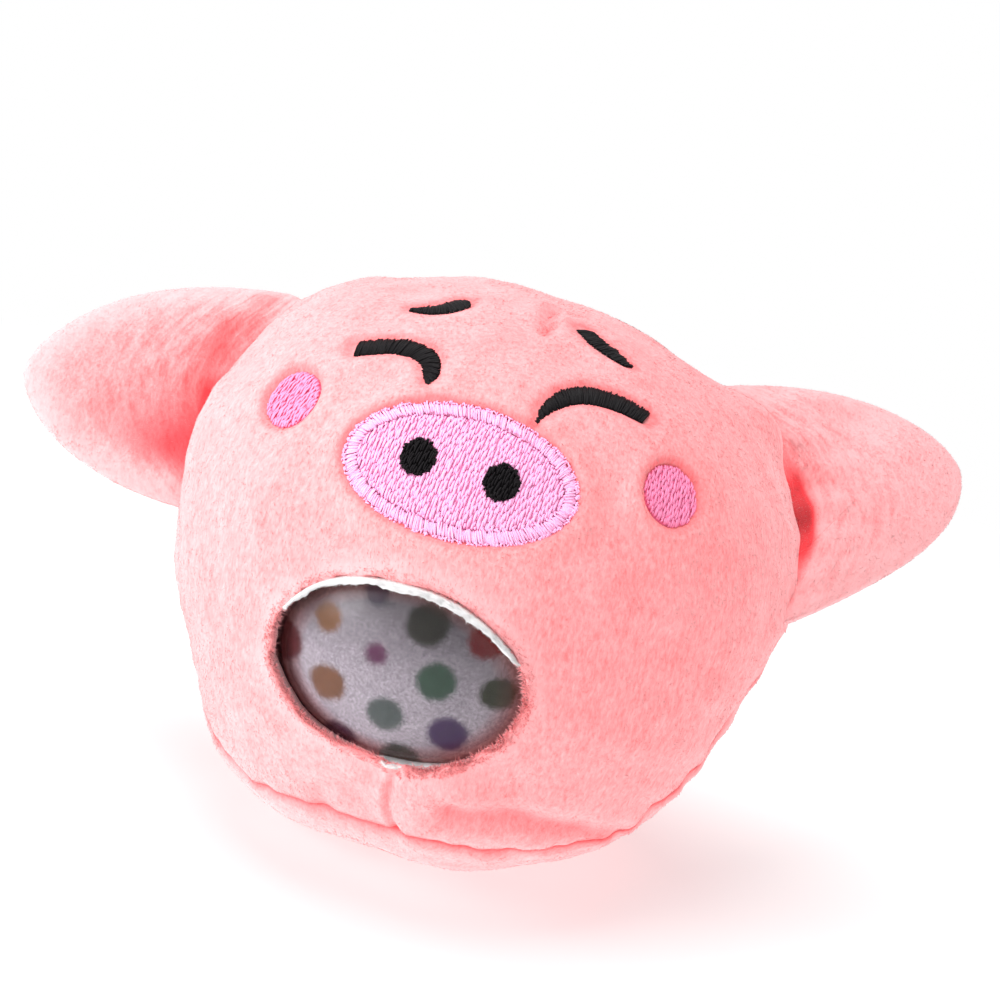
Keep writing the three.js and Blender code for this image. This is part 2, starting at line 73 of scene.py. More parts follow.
MM = 0.001
HEAD_TILT = np.radians(20.0)  # how far the face looks down
MIDDLE_HEIGHT = 42.995  # of the head's middle above the floor
WORLD_UP = np.array([0.0, -np.sin(HEAD_TILT), np.cos(HEAD_TILT)])
SEAM_TILT = 27.0  # of the seam's plane, in degrees
COVER = 2.9  # thickness of the plush
SKIN = 1.0  # thickness of the ball's skin
GAP = 0.3  # between pieces that don't touch


def unit(vectors: Array) -> Array:
    """The vectors divided by their lengths."""
    return vectors / np.linalg.norm(vectors, axis=-1, keepdims=True)


def direction(longitude: Array | float, latitude: Array | float) -> Array:
    """The unit vector of a longitude and latitude in degrees.

    Formula: x = cos(lat) sin(lon), y = -cos(lat) cos(lon), z = sin(lat).
    """
    lon, lat = np.broadcast_arrays(np.radians(longitude), np.radians(latitude))
    return np.stack([np.cos(lat) * np.sin(lon), -np.cos(lat) * np.cos(lon), np.sin(lat)], -1)


def smoothstep(low: float, high: float, value: Array) -> Array:
    """A soft step from 0 at low to 1 at high: t squared times (3 - 2 t)."""
    t = np.clip((value - low) / (high - low), 0.0, 1.0)
    return t * t * (3.0 - 2.0 * t)


def bell(value: Array, width: float) -> Array:
    """A bell of the given width: exp(-(value / width) squared)."""
    return np.exp(-((value / width) ** 2))


def turns(count: int) -> Array:
    """Even angles once round a circle, in radians."""
    return np.arange(count) * 2 * np.pi / count


def length_along(x: Array, y: Array) -> Array:
    """How far along a flat line each of its points is."""
    return np.concatenate([[0], np.cumsum(np.hypot(np.diff(x), np.diff(y)))])


def to_world(points: Array) -> Array:
    """Head-frame millimetres as world metres: tipped back about X, then lifted."""
    x, y, z = np.moveaxis(np.asarray(points, float), -1, 0)
    cos, sin = np.cos(HEAD_TILT), np.sin(HEAD_TILT)
    return np.stack([x, y * cos + z * sin, -y * sin + z * cos + MIDDLE_HEIGHT], -1) * MM


def world_vector(vector: Array) -> Vector:
    """A head-frame direction turned into the world."""
    origin = to_world(np.zeros(3))
    return Vector((to_world(np.asarray(vector, float)) - origin) / MM)


@dataclass(frozen=True)
class Ripple:
    """Smooth noise: a sum of plane sine waves in random directions.

    Attributes:
        wavelength: rough size of a ripple, in the units of the points.
        seed: which set of waves.
        waves: how many waves are added.
    """

    wavelength: float
    seed: int
    waves: int = 10

    def at(self, points: Array) -> Array:
        """The noise at each point, mostly between -1 and 1.

        Formula: the sum over waves of sin(k . p + phase), divided by the root of half their number.

        Args:
            points: in the head's frame, in millimetres.

        Returns:
            One value a point.
        """
        draw = np.random.default_rng(self.seed)
        wave = unit(draw.normal(size=(self.waves, 3)))
        wave *= 2 * np.pi / self.wavelength * draw.uniform(0.7, 1.3, (self.waves, 1))
        phase = draw.uniform(0, 2 * np.pi, self.waves)
        total = np.zeros(points.shape[:-1])
        for k, shift in zip(wave, phase):
            total += np.sin(points @ k + shift)
        return total / np.sqrt(self.waves / 2)


@dataclass(frozen=True)
class Swelling:
    """A place where the stuffing makes the head fuller, or flatter where rise is negative."""

    longitude: float
    latitude: float
    rise: float
    spread: float

    def over(self, dirs: Array) -> Array:
        """The rise towards each direction: a bell of the angle from the middle of the swelling."""
        cosine = np.clip(dirs @ direction(self.longitude, self.latitude), -1, 1)
        return self.rise * bell(np.arccos(cosine), np.radians(self.spread))


@dataclass(frozen=True)
class HeadForm:
    """The even form of the head: half ellipsoids blended into each other, flared, swollen and settled."""

    half_width: float = 45.0
    face_depth: float = 42.0
    back_depth: float = 41.0
    crown_height: float = 38.2
    chin_drop: float = 47.0
    flare_span: float = 45.0
    crown_flare: float = 0.134
    end_flare: float = 0.179
    chin_lean: float = 0.9
    half_blend: float = 4.0
    swellings: tuple[Swelling, ...] = (
        Swelling(-80.0, -56.0, 2.4, 18.0),
        Swelling(88.0, 48.0, -1.0, 22.0),
    )
    base_sag: float = 2.5
    sag_softness: float = 2.0
    sample_around: int = 26
    sample_up: int = 13

    def reach(self, dirs: Array) -> Array:
        """Distance from the middle to the surface before the flare.

        Formula: 1 / |(x / half width, y / half depth, z / half height)|, with the depth and height
        blended from one half to the other by tanh, plus a bell for each swelling.

        Args:
            dirs: unit vectors from the head's middle.

        Returns:
            Distances in millimetres.
        """
        ahead = 0.5 - 0.5 * np.tanh(self.half_blend * dirs[..., 1])
        above = 0.5 + 0.5 * np.tanh(self.half_blend * dirs[..., 2])
        depth = self.back_depth + (self.face_depth - self.back_depth) * ahead
        height = self.chin_drop + (self.crown_height - self.chin_drop) * above
        scaled = np.stack([dirs[..., 0] / self.half_width, dirs[..., 1] / depth, dirs[..., 2] / height], -1)
        total = 1.0 / np.linalg.norm(scaled, axis=-1)
        for swell in self.swellings:
            total = total + swell.over(dirs)
        return total

    def flare(self, z: Array) -> Pair:
        """How much the width grows and the middle leans at height z."""
        share = z / self.flare_span
        return 1 + self.crown_flare * share + self.end_flare * share**2, -self.chin_lean * share

    def unsettled(self, dirs: Array, depth: Array | float) -> Array:
        """Points at a depth below the surface, before the head settles on its base."""
        points = dirs * (self.reach(dirs) - depth)[..., None]
        width, lean = self.flare(points[..., 2])
        points[..., 0] = points[..., 0] * width + lean
        return points

    @cached_property
    def lowest(self) -> float:
        """Lowest level of the unsettled form, on the same sparse directions as the frame's solids."""
        turn = np.arange(self.sample_around) * 360.0 / self.sample_around
        rise = -90.0 + np.arange(1, self.sample_up) * 180.0 / self.sample_up
        longitude, latitude = np.meshgrid(turn, rise)
        return float((self.unsettled(direction(longitude, latitude), 0.0) @ WORLD_UP).min())

    def point(self, dirs: Array, depth: Array | float = 0.0) -> Array:
        """Points of the resting head, a depth below its surface.

        Formula: a point's level above the base is the soft greater of its own and the sagged base:
        half of (a + b + root((a - b) squared + softness squared)).
        """
        points = self.unsettled(dirs, depth)
        level = points @ WORLD_UP
        base = self.lowest + self.base_sag + depth
        settled = 0.5 * (level + base + np.hypot(level - base, self.sag_softness))
        return points + WORLD_UP * (settled - level)[..., None]

    def unflared(self, points: Array) -> Pair:
        """The directions and depths that give these points.

        Args:
            points: points in the head's frame, clear of the settled base.

        Returns:
            Unit directions, and depths below the surface in millimetres.
        """
        width, lean = self.flare(points[..., 2])
        inner = points.copy()
        inner[..., 0] = (inner[..., 0] - lean) / width
        distance = np.linalg.norm(inner, axis=-1)
        dirs = inner / distance[..., None]
        return dirs, self.reach(dirs) - distance

    def normal(self, dirs: Array, depth: float = 0.0) -> Array:
        """Outward normals, from two small steps to the sides of each direction.

        Args:
            dirs: unit vectors from the head's middle.
            depth: below the head's surface, in millimetres.

        Returns:
            Unit normals.
        """
        step = 0.01
        first = unit(np.cross(np.array([1.0, 0.0, 0.0]), dirs))
        second = np.cross(dirs, first)
        sides = []
        for side in (first, second):
            ahead = self.point(unit(dirs + step * side), depth)
            sides.append(ahead - self.point(unit(dirs - step * side), depth))
        return unit(np.cross(sides[0], sides[1]))


HEAD = HeadForm()
SEAM_POLE = direction(0.0, SEAM_TILT)
SEAM_ACROSS = np.array([1.0, 0.0, 0.0])
SEAM_UP = np.array([0.0, np.sin(np.radians(SEAM_TILT)), np.cos(np.radians(SEAM_TILT))])
ARC_RADIUS = 43.0  # millimetres to a radian on the head
FAR = 50.0  # a distance past which nothing changes


@dataclass(frozen=True)
class Frame:
    """A place on the head with its own axes, across, up and out, and how far in and out it looks for the surface."""

    origin: Array
    across: Array
    up: Array
    out: Array
    highest: float = 8.0
    deepest: float = -25.0
    halvings: int = 28

    @classmethod
    def on_head(cls, longitude: float, latitude: float, out: Array | None = None) -> "Frame":
        """A frame on the surface, looking along its normal unless another way is given."""
        dirs = direction(longitude, latitude)
        out = HEAD.normal(dirs) if out is None else out
        across = unit(np.cross(np.array([0.0, 0.0, 1.0]), out))
        return cls(HEAD.point(dirs), across, np.cross(out, across), out)

    def place(self, x: Array, y: Array, z: Array) -> Array:
        """Points from their three coordinates in this frame."""
        parts = np.broadcast_arrays(x, y, z)
        axes = (self.across, self.up, self.out)
        return self.origin + sum(part[..., None] * axis for part, axis in zip(parts, axes))

    def coordinates(self, points: Array) -> tuple[Array, Array, Array]:
        """The three coordinates of points in this frame."""
        offset = points - self.origin
        return offset @ self.across, offset @ self.up, offset @ self.out

    def outwards_at(self, x: Array, y: Array, depth: Array | float) -> Array:
        """How far out the form's surface at a depth lies over each place, by halving the interval.

        Args:
            x: places across.
            y: places up.
            depth: below the head's surface, in millimetres.

        Returns:
            Places out, in millimetres.
        """
        x, y, depth = np.broadcast_arrays(x, y, depth)
        near, far = np.full(x.shape, self.highest), np.full(x.shape, self.deepest)
        for _ in range(self.halvings):
            middle = (near + far) / 2
            above = HEAD.unflared(self.place(x, y, middle))[1] < depth
            near, far = np.where(above, middle, near), np.where(above, far, middle)
        return near

    def on_form(self, x: Array, y: Array, depth: Array | float = 0.0) -> Array:
        """Points of the head at a depth, straight behind places in this frame."""
        return self.place(x, y, self.outwards_at(x, y, depth))


@dataclass(frozen=True)
class Mouth:
    """The oval hole in the cover that the ball comes out through."""

    longitude: float = -3.4
    latitude: float = -27.7
    half_width: float = 18.0
    half_height: float = 13.35
    shift_across: float = -0.55
    shift_up: float = -0.35
    lip: float = 0.7
    ragged: float = 0.16

    @cached_property
    def frame(self) -> Frame:
        """The mouth's frame, which looks straight along the way the ball moves."""
        return Frame.on_head(self.longitude, self.latitude, direction(0.0, -np.degrees(HEAD_TILT)))

    def dirs(self, angle: Array, inset: Array | float = 0.0, depth: float = 0.0) -> Array:
        """Directions from the head's middle to the oval at a depth, shrunk by an inset."""
        return HEAD.unflared(self.frame.on_form(*self.rim(angle, inset), depth))[0]

    def rim(self, angle: Array, inset: Array | float = 0.0) -> Pair:
        """Across and up of the oval, shrunk by an inset: (a - inset) cos t, (b - inset) sin t, then shifted."""
        across = self.shift_across + (self.half_width - inset) * np.cos(angle)
        return across, self.shift_up + (self.half_height - inset) * np.sin(angle)


MOUTH = Mouth()


class Side(Enum):
    """Which side of the face a piece is on, seen from the front."""

    LEFT = -1
    RIGHT = 1

    @property
    def word(self) -> str:
        """The side's name in lower case."""
        return self.name.lower()

    @property
    def number(self) -> int:
        """0 for the left and 1 for the right."""
        return (self.value + 1) // 2


@dataclass(frozen=True)
class Patch:
    """A place that the machine stitched: a frame on the head and a signed distance to its outline."""

    frame: Frame
    distance: Callable[[Array, Array], Array]
    depth: float = 1.2

    def away(self, points: Array) -> Array:
        """Distance from the outline at nominal surface points, negative inside; far on the head's other side."""
        x, y, out = self.frame.coordinates(points)
        return np.where(out > -9.0, self.distance(x, y), FAR)

    def dent(self, points: Array) -> Array:
        """How far the stitches pull the cover in, and puff it up round them."""
        away = self.away(points)
        return 0.3 * bell(away - 2.0, 1.3) - self.depth * smoothstep(0.8, -0.4, away)

    def outside(self, points: Array) -> Array:
        """0 on the patch and 1 well away from it."""
        return smoothstep(0.3, 5.0, self.away(points))

    def halo(self, points: Array) -> Array:
        """Painted shade just outside the stitches, where the cover dips to them."""
        return 0.5 * bell(self.away(points) - 0.3, 0.6)


def oval_distance(half_width: float, half_height: float, x0: float = 0.0, y0: float = 0.0) -> Callable:
    """A signed distance to an oval, negative inside: (r - 1) times the radius along that way.

    Args:
        half_width: of the oval.
        half_height: of the oval.
        x0: its middle across.
        y0: its middle up.

    Returns:
        The distance as a function of x and y.
    """

    def distance(x: Array, y: Array) -> Array:
        """The signed distance at each place."""
        r = np.hypot((x - x0) / half_width, (y - y0) / half_height)
        radius = np.hypot(x - x0, y - y0) / np.maximum(r, 1e-6)
        return (r - 1.0) * radius

    return distance


@dataclass(frozen=True)
class Stroke:
    """A stitched line with its own width along it."""

    line: tuple[tuple[float, float], ...]
    widths: tuple[float, ...]
    stroke: float

    def curve(self, share: Array) -> Pair:
        """Smooth places along the line: a Catmull-Rom curve through its points.

        Args:
            share: of the line's length, 0 to 1.

        Returns:
            Places across and up.
        """
        points = np.array(self.line)
        points = np.vstack([2 * points[0] - points[1], points, 2 * points[-1] - points[-2]])
        place = np.clip(share, 0, 1) * (len(self.line) - 1)
        i = np.minimum(place.astype(int), len(self.line) - 2)
        t = (place - i)[..., None]
        a, b, c, d = points[i], points[i + 1], points[i + 2], points[i + 3]
        spot = 0.5 * (2 * b + (c - a) * t + (2 * a - 5 * b + 4 * c - d) * t**2 + (3 * b - a - 3 * c + d) * t**3)
        return spot[..., 0], spot[..., 1]

    def half_width(self, share: Array) -> Array:
        """Half the line's width at a share of its length."""
        marks = np.linspace(0, 1, len(self.widths))
        return 0.5 * self.stroke * np.interp(share, marks, self.widths)

    def distance(self, x: Array, y: Array) -> Array:
        """Signed distance to the stroke's outline, from a chain of round spots along it.

        Args:
            x: places across.
            y: places up.

        Returns:
            Distances in millimetres, negative inside.
        """
        shares = np.linspace(0, 1, 24)
        xs, ys = self.curve(shares)
        best = np.full(np.shape(x), FAR)
        for px, py, half in zip(xs, ys, self.half_width(shares)):
            best = np.minimum(best, np.hypot(x - px, y - py) - half)
        return best


@dataclass(frozen=True)
class FaceLayout:
    """Where the embroidery lies on the head, and its sizes."""

    snout_latitude: float = 13.2
    snout_half_width: float = 16.2
    snout_half_height: float = 9.5
    snout_border: float = 1.9
    nostril_spacing: float = 5.9
    nostril_rises: tuple[float, float] = (0.5, -0.15)
    nostril_half_width: float = 2.3
    nostril_half_height: float = 2.5
    face_shift: float = 1.4
    cheek_longitude: float = 39.5
    cheek_latitude: float = 18.6
    cheek_half_width: float = 4.3
    cheek_half_height: float = 4.5
    eye_longitude: float = 22.0
    eye_latitude: float = 33.5
    eye_stroke: float = 3.0
    eye_lines: tuple = (
        ((-6.1, 0.1), (-3.6, 1.0), (-0.8, 1.9), (2.4, 1.95), (4.9, 0.8), (6.1, -1.4), (6.3, -3.0)),
        ((-8.1, -4.8), (-6.9, -2.3), (-4.5, 0.2), (-1.6, 1.65), (1.5, 1.9), (4.5, 1.6), (7.3, 0.9)),
    )
    eye_widths: tuple = ((0.95, 1.0, 1.0, 1.0, 0.9, 0.65, 0.25), (0.2, 0.5, 0.85, 1.0, 1.0, 0.95, 0.85))
    brow_longitude: float = 25.5
    brow_latitude: float = 52.6
    brow_stroke: float = 2.9
    brow_lines: tuple = (
        ((-1.6, -3.1), (0.7, -2.1), (2.4, -0.5), (3.4, 1.6), (4.0, 2.9)),
        ((-2.0, 3.4), (-0.7, 0.9), (0.8, -0.7), (2.4, -2.1), (3.8, -3.3)),
    )
    brow_widths: tuple = ((0.25, 0.75, 1.0, 1.0, 0.7), (0.9, 1.0, 1.0, 0.75, 0.3))

    @cached_property
    def snout(self) -> Patch:
        """The snout's oval."""
        outline = oval_distance(self.snout_half_width, self.snout_half_height)
        return Patch(Frame.on_head(0.0, self.snout_latitude), outline)

    def cheek(self, side: Side) -> Patch:
        """The oval of one cheek."""
        where = Frame.on_head(side.value * self.cheek_longitude + self.face_shift, self.cheek_latitude)
        return Patch(where, oval_distance(self.cheek_half_width, self.cheek_half_height), 1.1)

    def eye_stroke_of(self, side: Side) -> Stroke:
        """One eye's arc."""
        return Stroke(self.eye_lines[side.number], self.eye_widths[side.number], self.eye_stroke)

    def brow_stroke_of(self, side: Side) -> Stroke:
        """One brow."""
        return Stroke(self.brow_lines[side.number], self.brow_widths[side.number], self.brow_stroke)

    def eye(self, side: Side) -> Patch:
        """The place of one eye."""
        where = Frame.on_head(side.value * self.eye_longitude + self.face_shift, self.eye_latitude)
        return Patch(where, self.eye_stroke_of(side).distance, 0.6)

    def brow(self, side: Side) -> Patch:
        """The place of one brow."""
        where = Frame.on_head(side.value * self.brow_longitude + self.face_shift, self.brow_latitude)
        return Patch(where, self.brow_stroke_of(side).distance, 0.4)

    @cached_property
    def patches(self) -> tuple[Patch, ...]:
        """Every stitched place that dents the cover."""
        both = [make(side) for side in Side for make in (self.cheek, self.eye, self.brow)]
        return (self.snout, *both)


FACE = FaceLayout()


@dataclass(frozen=True)
class Crease:
    """A dart, seam or fold: a line on the head that the cover dips along.

    Attributes:
        line: longitudes and latitudes of its points.
        depth: how deep it is, in millimetres.
        width: how wide, in millimetres.
        shoulder: how far the cover swells beside it.
    """

    line: tuple[tuple[float, float], ...]
    depth: float
    width: float
    shoulder: float = 0.0

    def away(self, dirs: Array) -> Array:
        """Distance along the head to the line's nearest piece, in millimetres.

        Args:
            dirs: unit vectors from the head's middle.

        Returns:
            Distances in millimetres.
        """
        marks = direction(*np.array(self.line).T)
        best = np.full(dirs.shape[:-1], 10.0)
        for a, b in zip(marks[:-1], marks[1:]):
            way = b - a
            t = np.clip(((dirs - a) @ way) / (way @ way), 0, 1)
            best = np.minimum(best, np.linalg.norm(dirs - a - t[..., None] * way, axis=-1))
        return best * ARC_RADIUS

    def at(self, dirs: Array) -> Array:
        """Height of the cover: a bell-shaped valley with a softer swelling beside it."""
        away = self.away(dirs)
        return self.shoulder * bell(away - 2.2 * self.width, 1.3 * self.width) - self.depth * bell(away, self.width)


@dataclass(frozen=True)
class PerimeterSeam:
    """The seam between the face and the back, as a closed curve on a flat map of the face.

    The map looks from the back of the seam's pole: (across, up) over (1 + the part along the pole), so
    that the seam's own plane is the circle of radius 1.
    """

    turns: tuple[float, ...] = (
        -180, -168, -150, -130, -120, -113.5, -110, -106, -101, -95.5, -89.3, -85.3, -81.5, -79.3, -75, -70.7,
        -63, -50, -30, -10, 10, 180,
    )
    radii: tuple[float, ...] = (
        1, 1.02, 1.12, 1.2, 1.2, 1.16, 1.1, 1.06, 1.04, 1.05, 1.01, 1.01, 1.02, 1.06, 1.12, 1.14,
        1.16, 1.22, 1.2, 1.06, 1, 1,
    )

    def radius(self, turn: Array) -> Array:
        """The curve's radius at each angle: straight runs between its marks, averaged over a few degrees."""
        spread = np.linspace(-4, 4, 9)
        degrees = np.degrees(turn)[..., None] + spread
        wrapped = (degrees + 180) % 360 - 180
        return np.interp(wrapped, self.turns, self.radii).mean(-1)

    def flat(self, dirs: Array) -> Array:
        """Directions on the flat map."""
        return np.stack([dirs @ SEAM_ACROSS, dirs @ SEAM_UP], -1) / (1.0001 + dirs @ SEAM_POLE)[..., None]

    def unflat(self, plane: Array) -> Array:
        """Directions from the flat map: the part along the pole is (1 - r squared) / (1 + r squared).

        Args:
            plane: places on the map.

        Returns:
            Unit vectors.
        """
        r2 = (plane**2).sum(-1)
        along = (1 - r2) / (1 + r2)
        scale = (1 + along)[..., None]
        return unit(
            plane[..., :1] * scale * SEAM_ACROSS + plane[..., 1:] * scale * SEAM_UP + along[..., None] * SEAM_POLE
        )

    def away(self, dirs: Array) -> Array:
        """Distance from the seam along the head, negative on the face."""
        plane = self.flat(dirs)
        turn = np.arctan2(plane[..., 1], plane[..., 0])
        return 2 * ARC_RADIUS * (np.arctan(np.linalg.norm(plane, axis=-1)) - np.arctan(self.radius(turn)))


SEAM = PerimeterSeam()


@dataclass(frozen=True)
class Relief:
    """Everything that raises or lowers the cover from the head's even form, in millimetres."""

    seam_depth: float = 0.5
    seam_width: float = 1.45
    pucker: float = 0.16
    pucker_reach: float = 5.0
    creases: tuple[Crease, ...] = (
        Crease(((-0.6, -47.0), (-1.9, -51.5), (-2.5, -56.0), (-1.2, -59.7), (1.5, -63.8)), 0.4, 0.5, 0.25),
        Crease(((10.2, 51.5), (11.5, 59.0), (12.2, 67.0)), 0.6, 0.7, 0.3),
        Crease(((18.0, -54.0), (36.0, -51.0), (57.0, -49.6), (67.0, -49.4)), 0.7, 2.1, 0.45),
        Crease(((-28.0, -58.0), (-14.0, -56.0), (-5.0, -58.0)), 0.2, 1.8, 0.15),
    )
    dimples: tuple[tuple[float, float, float, float], ...] = (
        (9.0, -54.5, 0.45, 1.3),
        (15.5, -52.5, 0.45, 1.1),
        (32.0, -42.5, 0.3, 1.4),
    )
    swellings: tuple[Swelling, ...] = (
        Swelling(-86.0, 22.0, -3.0, 17.0),
        Swelling(90.0, 0.0, 1.3, 11.0),
        Swelling(85.0, 42.0, 2.3, 9.0),
    )

    def at(self, dirs: Array) -> Array:
        """Height above the even form for each direction.

        Args:
            dirs: unit vectors from the head's middle.

        Returns:
            Heights in millimetres.
        """
        seam = SEAM.away(dirs)
        around = np.stack([dirs @ SEAM_ACROSS, dirs @ SEAM_UP, np.zeros(dirs.shape[:-1])], -1)
        gathers = Ripple(0.085, 11).at(unit(around + 1e-9))
        total = -self.seam_depth * bell(seam, self.seam_width)
        total += self.pucker * gathers * bell(seam, self.pucker_reach)
        for crease in self.creases:
            total += crease.at(dirs)
        for longitude, latitude, depth, width in self.dimples:
            away = ARC_RADIUS * np.linalg.norm(dirs - direction(longitude, latitude), axis=-1)
            total -= depth * bell(away, width)
        for swell in self.swellings:
            total += swell.over(dirs)
        points = HEAD.point(dirs)
        lumps = 0.3 * Ripple(0.5, 3).at(dirs) + 0.1 * Ripple(0.16, 4).at(dirs)
        for patch in FACE.patches:
            total += patch.dent(points)
            lumps *= patch.outside(points)
        return total + lumps

    def hollow(self, dirs: Array) -> Array:
        """Painted shade in the seam, the creases and just outside the stitches, towards the pile's deep colour: 0 to
        1.

        Args:
            dirs: unit vectors from the head's middle.

        Returns:
            One value from 0 to 1 a direction.
        """
        # Painted shade along the seam and in the creases, and round the stitches.
        total = 0.6 * bell(SEAM.away(dirs), self.seam_width)
        for crease in self.creases:
            total += 0.6 * crease.depth * bell(crease.away(dirs), 1.2 * crease.width)
        points = HEAD.point(dirs)
        for patch in FACE.patches:
            total += patch.halo(points)
        return np.clip(total, 0, 1)


RELIEF = Relief()


def lifted(points: Array, floor: Array | float) -> Array:
    """The points, raised to a height above the floor where they lie below it."""
    return points + WORLD_UP * np.maximum(floor - (points @ WORLD_UP + MIDDLE_HEIGHT), 0.0)[..., None]


def cover_points(dirs: Array, depth: Array | float) -> Array:
    """Points of the cover at a depth below its dented outer surface, kept above the floor."""
    return lifted(HEAD.point(dirs, depth - RELIEF.at(dirs)), depth)


def torus_faces(rows: int, columns: int) -> Array:
    """Quads of a grid that closes on itself both ways."""
    row, column = np.meshgrid(np.arange(rows), np.arange(columns), indexing="ij")
    below, right = (row + 1) % rows, (column + 1) % columns
    corners = [row * columns + column, row * columns + right, below * columns + right, below * columns + column]
    return np.stack(corners, -1).reshape(-1, 4)


def ball_faces(rows: int, columns: int) -> Pair:
    """Quads and pole triangles of rows of a closed form, with its two poles after the rows.

    Args:
        rows: how many rows.
        columns: how many columns.

    Returns:
        The quads and the triangles.
    """
    quads = torus_faces(rows, columns)[: (rows - 1) * columns]
    start = np.arange(columns)
    turn = (start + 1) % columns
    last, pole = (rows - 1) * columns, rows * columns
    first_fan = np.stack([np.full(columns, pole), turn, start], -1)
    last_fan = np.stack([np.full(columns, pole + 1), last + start, last + turn], -1)
    return quads, np.vstack([first_fan, last_fan])


def capped(grid: Array, poles: Sequence[Array]) -> Closed:
    """The points of a closed form, its rows and then its two poles, and its faces."""
    return np.vstack([grid.reshape(-1, 3), poles]), ball_faces(*grid.shape[:2])


def linked(name: str, data: bpy.types.ID) -> Piece:
    """A new object with this data, linked to the scene."""
    item = bpy.data.objects.new(name, data)
    bpy.context.scene.collection.objects.link(item)
    return item


def outward(points: Array, faces: Sequence[Array]) -> list[Array]:
    """The faces, all turned over if the volume that they enclose is negative.

    Args:
        points: in the head's frame, in millimetres.
        faces: arrays of corner numbers.

    Returns:
        The faces, looking outwards.
    """
    volume = 0.0
    for face in faces:
        for i in range(1, face.shape[1] - 1):
            a, b, c = points[face[:, 0]], points[face[:, i]], points[face[:, i + 1]]
            volume += np.einsum("ij,ij->", a, np.cross(b, c))
    return [face[:, ::-1] if volume < 0 else face for face in faces]


def new_piece(name: str, points: Array, faces: Sequence[Array], values: dict[str, Array] | None = None) -> Piece:
    """A mesh object at the origin from head-frame points.

    Args:
        name: the piece's name.
        points: n by 3, in millimetres in the head's frame.
        faces: arrays of corner numbers, each with its own corner count.
        values: numbers per point that the finishes read as attributes.

    Returns:
        The new object, linked to the scene and shaded smooth.
    """
    faces = outward(points, faces)
    mesh = bpy.data.meshes.new(name)
    mesh.vertices.add(len(points))
    mesh.vertices.foreach_set("co", to_world(points).astype(np.float32).ravel())
    totals = np.concatenate([np.full(len(face), face.shape[1]) for face in faces])
    corners = np.concatenate([face.ravel() for face in faces])
    mesh.loops.add(len(corners))
    mesh.loops.foreach_set("vertex_index", corners.astype(np.int32))
    mesh.polygons.add(len(totals))
    starts = np.concatenate([[0], np.cumsum(totals)[:-1]])
    mesh.polygons.foreach_set("loop_start", starts.astype(np.int32))
    mesh.polygons.foreach_set("loop_total", totals.astype(np.int32))
    mesh.polygons.foreach_set("use_smooth", np.ones(len(totals), bool))
    for key, value in (values or {}).items():
        attribute = mesh.attributes.new(key, "FLOAT", "POINT")
        attribute.data.foreach_set("value", np.asarray(value, np.float32).ravel())
    mesh.update(calc_edges=True)
    mesh.validate()
    LOG.info("%s: %d points, %d faces", name, len(points), len(totals))
    return linked(name, mesh)


def grid_normals(grid: Array, closed: bool) -> Array:
    """Unit normals of a grid of points, from the steps along its rows and columns."""
    across = np.roll(grid, -1, 1) - np.roll(grid, 1, 1) if closed else np.gradient(grid, axis=1)
    along = np.gradient(grid, axis=0)
    return unit(np.cross(across, along) + 1e-12)


@dataclass
class Surface:
    """A grid of points of a visible surface that pile can grow on, closed along its columns.

    Attributes:
        grid: rows by columns by 3.
        inside: a point inside the piece, which its normals look away from.
        bare: 1 where no pile grows.
        hollow: painted shade towards the deep colour from 0 to 1, and painted highlight below 0.
    """

    grid: Array
    inside: Array
    bare: Array | float = 0.0
    hollow: Array | float = 0.0

    def scatter(self, count: int, draw: Draw) -> tuple[Array, Array, Array]:
        """Random points spread evenly over the surface, with their normals and painted shading values.

        Args:
            count: how many.
            draw: for the small differences.

        Returns:
            Points, normals and painted shading values.
        """
        normals = grid_normals(self.grid, True)
        flip = np.sign(np.einsum("...k,...k->...", normals, self.grid - self.inside))
        normals = normals * np.where(flip == 0, 1, flip)[..., None]
        bare, hollow = (np.broadcast_to(values, self.grid.shape[:2]) for values in (self.bare, self.hollow))
        grid, normals, bare, hollow = (
            np.concatenate([values, values[:, :1]], 1) for values in (self.grid, normals, bare, hollow)
        )
        corner = grid[:-1, :-1]
        area = np.linalg.norm(np.cross(grid[1:, :-1] - corner, grid[:-1, 1:] - corner), axis=-1)
        area = area * (bare[:-1, :-1] < 0.5)
        cell = draw.choice(area.size, count, p=area.ravel() / area.sum())
        row, column = np.unravel_index(cell, area.shape)
        s, t = draw.uniform(size=(2, count, 1))

        def mixed(values: Array) -> Array:
            """The values at the drawn place in each cell."""
            near = values[row, column] * (1 - t) + values[row, column + 1] * t
            far = values[row + 1, column] * (1 - t) + values[row + 1, column + 1] * t
            return near * (1 - s) + far * s

        return mixed(grid), unit(mixed(normals)), mixed(hollow[..., None])[:, 0]


